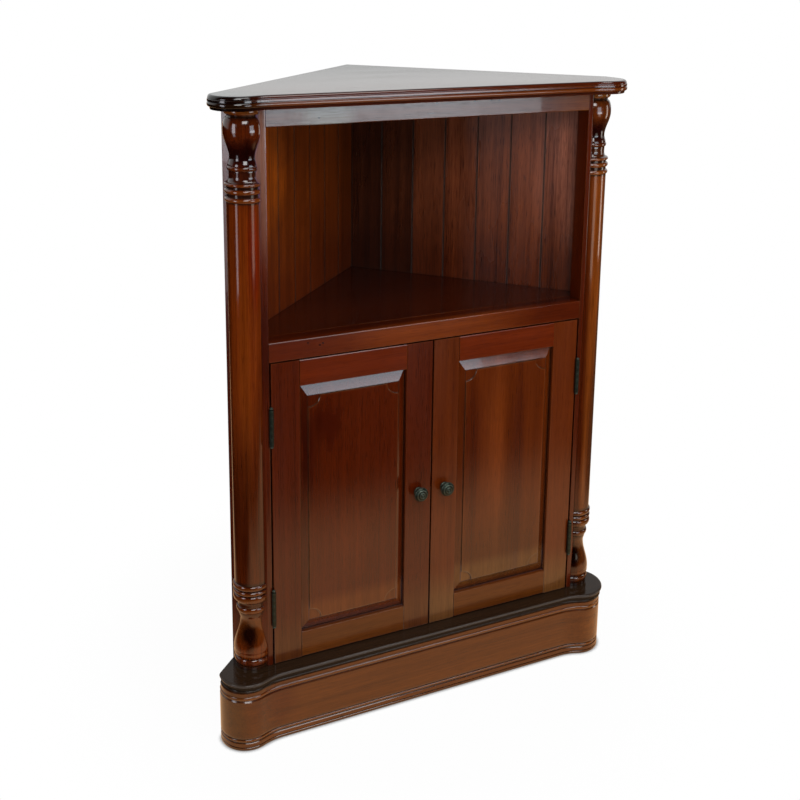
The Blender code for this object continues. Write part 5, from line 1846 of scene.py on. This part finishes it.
@dataclass(frozen=True)
class ButtHinge:
    """A five-knuckle butt hinge with ball tips and countersunk screws.

    Attributes:
        length: Its length.
        knuckles: How many knuckles it has.
        barrel_r: The barrel's radius.
        bore_r: The bore's radius.
        pin_r: The pin's radius.
        tip: The radius and half the height of a ball tip.
        soft: The rounding of a knuckle.
        leaf_t: A leaf's thickness.
        leaf_w: A leaf's width.
        leaf_soft: The rounding of a leaf.
        tab_y: Where the tab from a knuckle to its leaf starts and how far it runs into the leaf.
        gap: The gap between door and post.
        screws: How many screws a leaf has.
        screw_y: Where they sit across a leaf, as a share of its width.
        screw_z: How far apart they sit, as a share of the length.
        head: Radius, height and glaze of a countersunk head.
        x: The pin's distance from the middle plane.
        y: The pin's depth.
        segments: Segments in a turn of the barrel.
        head_segments: Segments in a turn of a head.
    """

    length: float = 0.0635
    knuckles: int = 5
    barrel_r: float = 0.00375
    bore_r: float = 0.0019
    pin_r: float = 0.0016
    tip: tuple[float, float] = (0.0032, 0.0021)
    soft: float = 0.0004
    leaf_t: float = 0.0009
    leaf_w: float = 0.0165
    leaf_soft: float = 0.0003
    tab_y: tuple[float, float] = (0.0022, 0.0010)
    gap: float = 0.0028
    screws: int = 3
    screw_y: float = 0.55
    screw_z: float = 0.36
    head: tuple[ProfilePoint, ...] = (
        (0.0, -0.00005, -0.4), (0.0006, -0.00005, -0.4), (0.0009, 0.00015, 0.3), (0.0024, 0.0001, 0.4),
        (0.0027, 0.0, -0.8), (0.0014, -0.0009, 0.0), (0.0, -0.0009, 0.0),
    )
    x: float = 0.2986
    y: float = -0.00405
    segments: int = 32
    head_segments: int = 20

    def knuckle_profile(self, height: float) -> list[ProfilePoint]:
        """Radius, height and glaze of one knuckle with its bore.

        Args:
            height: The knuckle's height.

        Returns:
            A closed profile.
        """
        half, edge = height / 2, self.barrel_r - self.soft
        return [
            (self.bore_r, half, -0.6), (edge, half, -0.6), (self.barrel_r, half - self.soft, 0.3),
            (self.barrel_r, 0.0, 0.1), (self.barrel_r, self.soft - half, 0.3), (edge, -half, -0.6),
            (self.bore_r, -half, -0.6), (self.bore_r, half, -0.6),
        ]

    def leaf(self, side: Side, on_frame: bool, surface: bpy.types.Material) -> Shape:
        """Builds a leaf with its knuckles and screws about the pin.

        Args:
            side: The door's side.
            on_frame: Whether it is the frame's leaf.
            surface: The material.

        Returns:
            The shape, with the pin's middle at the origin.
        """
        pitch = self.length / self.knuckles
        inner = self.gap / 2 - FIT
        towards = side.value if on_frame else -side.value
        near, far = towards * (inner - self.leaf_t), towards * inner
        low_x, high_x = sorted((near, far))
        start, half = self.barrel_r + FIT, self.length / 2
        shape = bmesh.new()
        slab(shape, (low_x, start, -half), (high_x, start + self.leaf_w, half), self.leaf_soft)
        count = (self.knuckles + 1) // 2 if on_frame else self.knuckles // 2
        first = (0.0, 0.0, -half + (0.5 if on_frame else 1.5) * pitch)
        ring = turned(self.knuckle_profile(pitch - FIT), self.segments, surface)
        tab = bmesh.new()
        tab_low = (low_x, self.tab_y[0], (FIT - pitch) / 2)
        slab(tab, tab_low, (high_x, start + self.tab_y[1], (pitch - FIT) / 2))
        for part in (ring, tab):
            join(shape, row_of(part, count, first, (0.0, 0.0, 2 * pitch), surface))
        head = turned(self.head, self.head_segments, surface)
        swing(head, -90.0 * towards, "Y")
        spot = (near, start + self.leaf_w * self.screw_y, -self.screw_z * self.length)
        join(shape, row_of(head, self.screws, spot, (0.0, 0.0, self.screw_z * self.length), surface))
        return shape

    def pin_profile(self) -> list[ProfilePoint]:
        """Radius, height and glaze of the pin with a ball at each end.

        Returns:
            The points.
        """
        seat = self.length / 2 + FIT
        radius, half = self.tip
        upper = []
        for angle in spread(math.pi / 2, -math.pi / 2, 12):
            upper.append((radius * math.cos(angle), seat + half + half * math.sin(angle), 0.5))
        upper[0] = (0.0, seat + 2 * half, 0.5)
        upper[-1] = (self.pin_r, seat, -0.5)
        return upper + [(radius, -height, glaze) for radius, height, glaze in reversed(upper)]

    def build(self, side: Side, place: str, z: float) -> None:
        """Builds and dresses one hinge.

        Args:
            side: The door's side.
            place: upper or lower.
            z: The height of its middle.
        """
        hinge = f"{side.door}_{place}_hinge"
        surface = BRONZE.material(hinge)
        where = SHIFT + Vector((side.value * self.x, self.y, z))
        for on_frame, word, body in ((True, "frame_leaf", "cabinet"), (False, "door_leaf", side.door)):
            remake(f"{hinge}_{word}", self.leaf(side, on_frame, surface), surface, body, where)
        pin = turned(self.pin_profile(), self.segments, surface)
        remake(f"{hinge}_pin", pin, surface, "cabinet", where)


@dataclass(frozen=True)
class DoorLook:
    """What sets one door's looks apart from the other's.

    Attributes:
        frame: The wood of its stiles.
        panel: The wood of its panel.
        seed: Where in the timber it is cut from.
        tones: The tones of its hinge stile, and of its meeting stile and panel.
        figure: The patches of its panel: darker and lighter streaks, and on the right door a darker lower
            part.
    """

    frame: Wood
    panel: Wood
    seed: float
    tones: tuple[float, float]
    figure: tuple[Patch, ...]


@dataclass(frozen=True)
class Doors:
    """Both doors with their hinges and knobs.

    Attributes:
        looks: The looks of each door.
        panel: The raised panel.
        knob: The knob.
        hinge: The butt hinge.
        hinge_z: The height of the hinges by place.
        foot: The painted sheen on the lower part of the frame, a reflection of the floor.
        low: The painted sheen on the lowest part of the panel, a reflection of the floor.
        rail_tones: The tones of the top and the bottom rail.
    """

    looks: ClassVar[dict[Side, DoorLook]] = {
        Side.RIGHT: DoorLook(
            BRIGHT_MAHOGANY, BRIGHT_PANEL_WOOD, 15.0, (1.0, 0.90),
            (
                Patch((0.186, -0.182, 0.380), (0.022, 0.02, 0.330), (0.72, 0.68, 1.3), 0.35),
                Patch((0.140, -0.182, 0.430), (0.030, 0.02, 0.250), (1.40, 1.60, 2.2), 0.5),
                Patch((0.088, -0.182, 0.440), (0.026, 0.02, 0.260), (0.62, 0.52, 0.6), 0.4),
                Patch((0.150, -0.182, 0.200), (0.180, 0.02, 0.170), (0.74, 0.88, 1.1), 0.2),
            ),
        ),
        Side.LEFT: DoorLook(
            MAHOGANY, PANEL_WOOD, 22.0, (0.95, 0.95),
            (
                Patch((-0.190, -0.182, 0.548), (0.036, 0.02, 0.060), (0.68, 0.55, 0.7), 0.8),
                Patch((-0.226, -0.182, 0.500), (0.020, 0.02, 0.130), (0.65, 0.55, 0.7), 0.6),
                Patch((-0.140, -0.182, 0.330), (0.050, 0.02, 0.090), (1.20, 1.25, 1.2), 0.6),
            ),
        ),
    }
    panel: RaisedPanel = RaisedPanel()
    knob: Knob = Knob()
    hinge: ButtHinge = ButtHinge()
    hinge_z: ClassVar[dict[str, float]] = {"upper": 0.5650, "lower": 0.2335}
    # Painted sheens, reflections of the floor, on the lower frame and the lowest part of the panel.
    foot: Patch = Patch((SHIFT.x, SHIFT.y, 0.130), (0.9, 0.1, 0.110), (1.25, 2.9, 9.0), 0.1)
    low: Patch = Patch((SHIFT.x, SHIFT.y, 0.205), (0.9, 0.1, 0.034), (1.6, 3.0, 7.0), 0.05)
    rail_tones: tuple[float, float] = (0.95, 0.75)

    def build(self) -> None:
        """Builds and dresses both doors."""
        for side, look in self.looks.items():
            boards = (
                ("hinge_stile", look.frame, 0.0, look.tones[0]),
                ("meeting_stile", look.frame, 2.1, look.tones[1]),
                ("top_rail", ORANGE_RAIL, 5.3, self.rail_tones[0]),
                ("bottom_rail", ORANGE_RAIL, 7.0, self.rail_tones[1]),
            )
            for name, wood, cut, tone in boards:
                node = f"{side.door}_{name}"
                surface = wood.material(node, look.seed + cut, tone, patches=(self.foot,))
                recut(node, surface, side.door)
            patches = (*look.figure, self.low)
            label = f"{side.door}_panel"
            surface = look.panel.material(label, look.seed + 9.7, look.tones[1], patches=patches)
            self.panel.build(side, surface)
            self.knob.build(side)
            for place, height in self.hinge_z.items():
                self.hinge.build(side, place, height)


@dataclass(frozen=True)
class Catch:
    """The double magnetic catch behind the doors.

    Attributes:
        width: Its width.
        depth: Its depth.
        height: Its height.
        front: The depth of its front face.
        top: The height of its upper face.
        soft: The rounding of its case.
        magnet: Radius, height and glaze of a magnet.
        segments: Segments in a turn of a magnet.
    """

    width: float = 0.046
    depth: float = 0.012
    height: float = 0.014
    front: float = 0.0218
    top: float = 0.6762
    soft: float = 0.0012
    magnet: tuple[ProfilePoint, ...] = (
        (0.0, 0.0001, 0.3), (0.0030, 0.0001, 0.3), (0.0034, -0.0003, 0.0), (0.0034, -0.0020, 0.0),
        (0.0, -0.0020, 0.0),
    )
    segments: int = 24

    def build(self) -> None:
        """Builds and dresses the catch and its magnets."""
        case = bmesh.new()
        low = (-self.width / 2, self.front, self.top - self.height)
        slab(case, low, (self.width / 2, self.front + self.depth, self.top), self.soft)
        remake("magnetic_catch", case, CATCH_PLASTIC.material("magnetic_catch"), "cabinet")
        steel = STEEL.material("catch_magnets")
        disc = turned(self.magnet, self.segments, steel)
        swing(disc, 90.0, "X")
        start = (-self.width / 4, self.front, self.top - self.height / 2)
        row = row_of(disc, 2, start, (self.width / 2, 0.0, 0.0), steel)
        piece("catch_magnets", finished(row, "catch_magnets"), steel, "cabinet")


# The studio

@dataclass(frozen=True)
class Lamp:
    """One soft box.

    Attributes:
        name: Its name.
        place: The middle of its face.
        aim: The point that it faces.
        size: Its width and height.
        radiance: How bright its face is, where 1 is white.
        colour: Its colour.
    """

    name: str
    place: Point
    aim: Point
    size: tuple[float, float]
    radiance: float
    colour: Colour = (1.0, 1.0, 1.0)

    def build(self) -> None:
        """Adds the lamp to the scene."""
        light = bpy.data.lights.new(self.name, "AREA")
        light.shape = "RECTANGLE"
        light.size, light.size_y = self.size
        light.energy = self.radiance * math.pi * self.size[0] * self.size[1]
        light.color = self.colour
        item = bpy.data.objects.new(self.name, light)
        item.location = self.place
        item.rotation_euler = (Vector(self.aim) - Vector(self.place)).to_track_quat("-Z", "Y").to_euler()
        item.visible_camera = False
        bpy.context.scene.collection.objects.link(item)


@dataclass(frozen=True)
class Studio:
    """The floor, the background, the lamps and the camera.

    Attributes:
        lamps: The soft boxes.
        ambient: The world's plain light.
        backdrop: How bright the background is in what shines.
        front_dark: The same before the cabinet.
        behind: The way along Y of a ray at which the background starts and is full.
        white: The colour that the camera sees behind and under the object.
        off_white: The colour of the background's light everywhere else.
        paper: The floor's own colour.
        warm: The colour of the floor before the doors in what shines.
        warm_y: Where that floor starts and is full, from the front.
        warm_x: The same from the left.
        dark_x: Where it starts to be dark and is dark, at the right.
        dark_share: What is left of it there.
        contact: The openness of full and of no contact shadow, and how bright the full shadow is.
        halo: The distances between which the floor turns white, and its share of white up to there.
        half_floor: Half the floor's side.
        shadow_reach: How far the contact shadow reaches.
        eye: The camera's place.
        look: Its yaw, pitch and roll.
        focal: Its focal length in pixels of the frame.
        horizon: The row of the frame's middle axis.
        frame_px: The frame's side in pixels.
        sensor: The sensor's width in millimetres.
        clip: The nearest and the farthest distance that it sees.
    """

    lamps: tuple[Lamp, ...] = (
        Lamp("key_box", (0.67, -2.12, 1.12), (0.1, 0.0, 0.95), (0.84, 0.50), 3.6, (0.82, 0.98, 1.12)),
        Lamp("key_strip", (0.80, -2.12, 0.765), (0.1, 0.0, 0.95), (1.09, 0.21), 8.0, (0.88, 0.97, 1.05)),
        Lamp("key_skirt", (0.80, -2.12, 0.42), (0.1, 0.0, 0.42), (0.62, 0.48), 1.7, (1.0, 0.93, 0.78)),
        Lamp("fill_box", (-0.90, -3.30, 2.60), (0.0, 0.0, 0.60), (1.6, 1.2), 9.0),
        Lamp("left_box", (-1.88, -0.66, 1.06), (-0.3, -0.1, 0.95), (0.50, 0.70), 6.0, (0.93, 0.92, 1.0)),
        Lamp("left_skirt", (-1.88, -0.66, 0.50), (-0.3, -0.1, 0.5), (0.36, 0.40), 2.6, (0.93, 0.92, 1.0)),
        Lamp("right_box", (1.78, -0.66, 0.82), (0.3, -0.15, 0.8), (0.34, 0.86), 3.6, (1.0, 0.92, 0.82)),
        Lamp("top_box", (0.2, -1.60, 3.2), (0.0, -0.1, 0.6), (2.0, 1.2), 5.6),
    )
    ambient: float = 0.18
    backdrop: float = 0.84
    front_dark: float = 0.004
    behind: tuple[float, float] = (0.10, 0.45)
    white: ClassVar[Colour] = (1.0, 1.0, 1.0)
    off_white: ClassVar[Colour] = (0.985, 1.0, 0.995)
    paper: ClassVar[Colour] = (0.80, 0.80, 0.80)
    warm: Colour = (0.90, 0.52, 0.27)
    warm_y: tuple[float, float] = (-1.06, -0.68)
    warm_x: tuple[float, float] = (-0.80, -0.45)
    dark_x: tuple[float, float] = (0.75, 1.05)
    dark_share: float = 0.10
    contact: tuple[float, float, float] = (0.50, 0.85, 0.30)
    halo: tuple[float, float, float] = (0.40, 0.70, 0.972)
    half_floor: float = 14.0
    shadow_reach: float = 0.012
    eye: Point = (-0.8167, -1.8104, 1.3200)
    look: Point = (-0.4343, 0.2117, -0.0119)
    focal: float = 1101.3552
    horizon: float = 197.5947
    frame_px: float = 800.0
    sensor: float = 36.0
    clip: tuple[float, float] = (0.05, 60.0)

    def build(self) -> None:
        """Builds the whole studio."""
        bpy.context.scene.view_settings.view_transform = "Standard"
        for lamp in self.lamps:
            lamp.build()
        self.build_world()
        self.build_floor()
        self.build_camera()

    @staticmethod
    def rays(wiring: Wiring) -> tuple[Any, Any]:
        """Whether a ray is the camera's, and whether it is a glossy or a transmission ray.

        Args:
            wiring: The tree's wiring.

        Returns:
            The two sockets.
        """
        path = wiring.add("ShaderNodeLightPath").outputs
        shiny = wiring.sum("MAXIMUM", path["Is Glossy Ray"], path["Is Transmission Ray"])
        return path["Is Camera Ray"], shiny

    def build_world(self) -> None:
        """A white background behind the object and a dim room in front of it."""
        world = bpy.data.worlds.new("studio")
        world.use_nodes = True
        wiring = Wiring(world.node_tree)
        sky = world.node_tree.nodes["Background"].inputs
        camera, shiny = self.rays(wiring)
        way = wiring.add("ShaderNodeTexCoord").outputs["Generated"]
        ahead = wiring.add("ShaderNodeSeparateXYZ", {0: way}).outputs[1]
        behind = wiring.ramp(ahead, *self.behind, self.front_dark, self.backdrop)
        unseen = wiring.sum("MULTIPLY", wiring.sum("SUBTRACT", 1.0, shiny), self.ambient)
        light = wiring.sum("MULTIPLY_ADD", shiny, behind, unseen)
        wiring.feed(sky["Color"], wiring.blend(camera, self.off_white, self.white))
        wiring.feed(sky["Strength"], wiring.sum("MAXIMUM", camera, light))
        bpy.context.scene.world = world

    def build_floor(self) -> None:
        """A plain pale floor that keeps the object's shadow and is warm before the doors in what shines."""
        surface, wiring, shader = new_material("pale_floor")
        for key, value in {"Base Color": self.paper, "Roughness": 0.9, "Specular IOR Level": 0.0}.items():
            wiring.feed(shader[key], value)
        camera, shiny = self.rays(wiring)
        place = wiring.spots()
        x, y, _ = wiring.add("ShaderNodeSeparateXYZ", {0: place}).outputs
        level = wiring.ramp(wiring.openness(self.shadow_reach, 8), *self.contact, 1.0)
        darker = wiring.ramp(x, *self.dark_x, 1.0, self.dark_share)
        beside = wiring.sum("MINIMUM", wiring.ramp(x, *self.warm_x), darker)
        near = wiring.sum("MULTIPLY", wiring.ramp(y, *self.warm_y), beside)
        fade = wiring.ramp(wiring.vector("LENGTH", place), *self.halo, 1.0)
        plain = wiring.sum("MULTIPLY", camera, fade)
        plain_shader = wiring.tree.nodes["Principled BSDF"].outputs[0]
        mixed = {0: shiny, 1: plain_shader, 2: wiring.glow(self.warm, near)}
        paper = wiring.add("ShaderNodeMixShader", mixed).outputs[0]
        mixed = {0: plain, 1: paper, 2: wiring.glow(self.white, level)}
        white = wiring.add("ShaderNodeMixShader", mixed).outputs[0]
        wiring.feed(wiring.tree.nodes["Material Output"].inputs["Surface"], white)
        half = self.half_floor
        corners = [(-half, -half, 0.0), (half, -half, 0.0), (half, half, 0.0), (-half, half, 0.0)]
        mesh = bpy.data.meshes.new("floor")
        mesh.from_pydata(corners, [], [(0, 1, 2, 3)])
        mesh.materials.append(surface)
        floor = bpy.data.objects.new("floor", mesh)
        bpy.context.scene.collection.objects.link(floor)

    def build_camera(self) -> None:
        """The camera at the photograph's angle."""
        yaw, pitch, roll = self.look
        turn = Matrix.Rotation(yaw, 3, "Z") @ Matrix.Rotation(-pitch, 3, "X") @ Matrix.Rotation(roll, 3, "Y")
        right, ahead, up = turn.col[0], turn.col[1], turn.col[2]
        data = bpy.data.cameras.new("photo_camera")
        data.sensor_width = self.sensor
        data.lens = data.sensor_width * self.focal / self.frame_px
        data.shift_y = (self.horizon - self.frame_px / 2) / self.frame_px
        data.clip_start, data.clip_end = self.clip
        camera = bpy.data.objects.new("photo_camera", data)
        camera.matrix_world = Matrix.Translation(self.eye) @ Matrix((right, up, -ahead)).transposed().to_4x4()
        bpy.context.scene.collection.objects.link(camera)
        bpy.context.scene.camera = camera


def main() -> None:
    """Builds the finished cabinet and its studio."""
    logging.basicConfig(level=logging.INFO, format="%(message)s")
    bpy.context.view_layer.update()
    for assembly in (TopBoard(), Plinth(), Columns(), Shell(), Doors(), Catch(), Studio()):
        LOG.info("building %s", type(assembly).__name__)
        assembly.build()


if __name__ == "__main__":
    main()
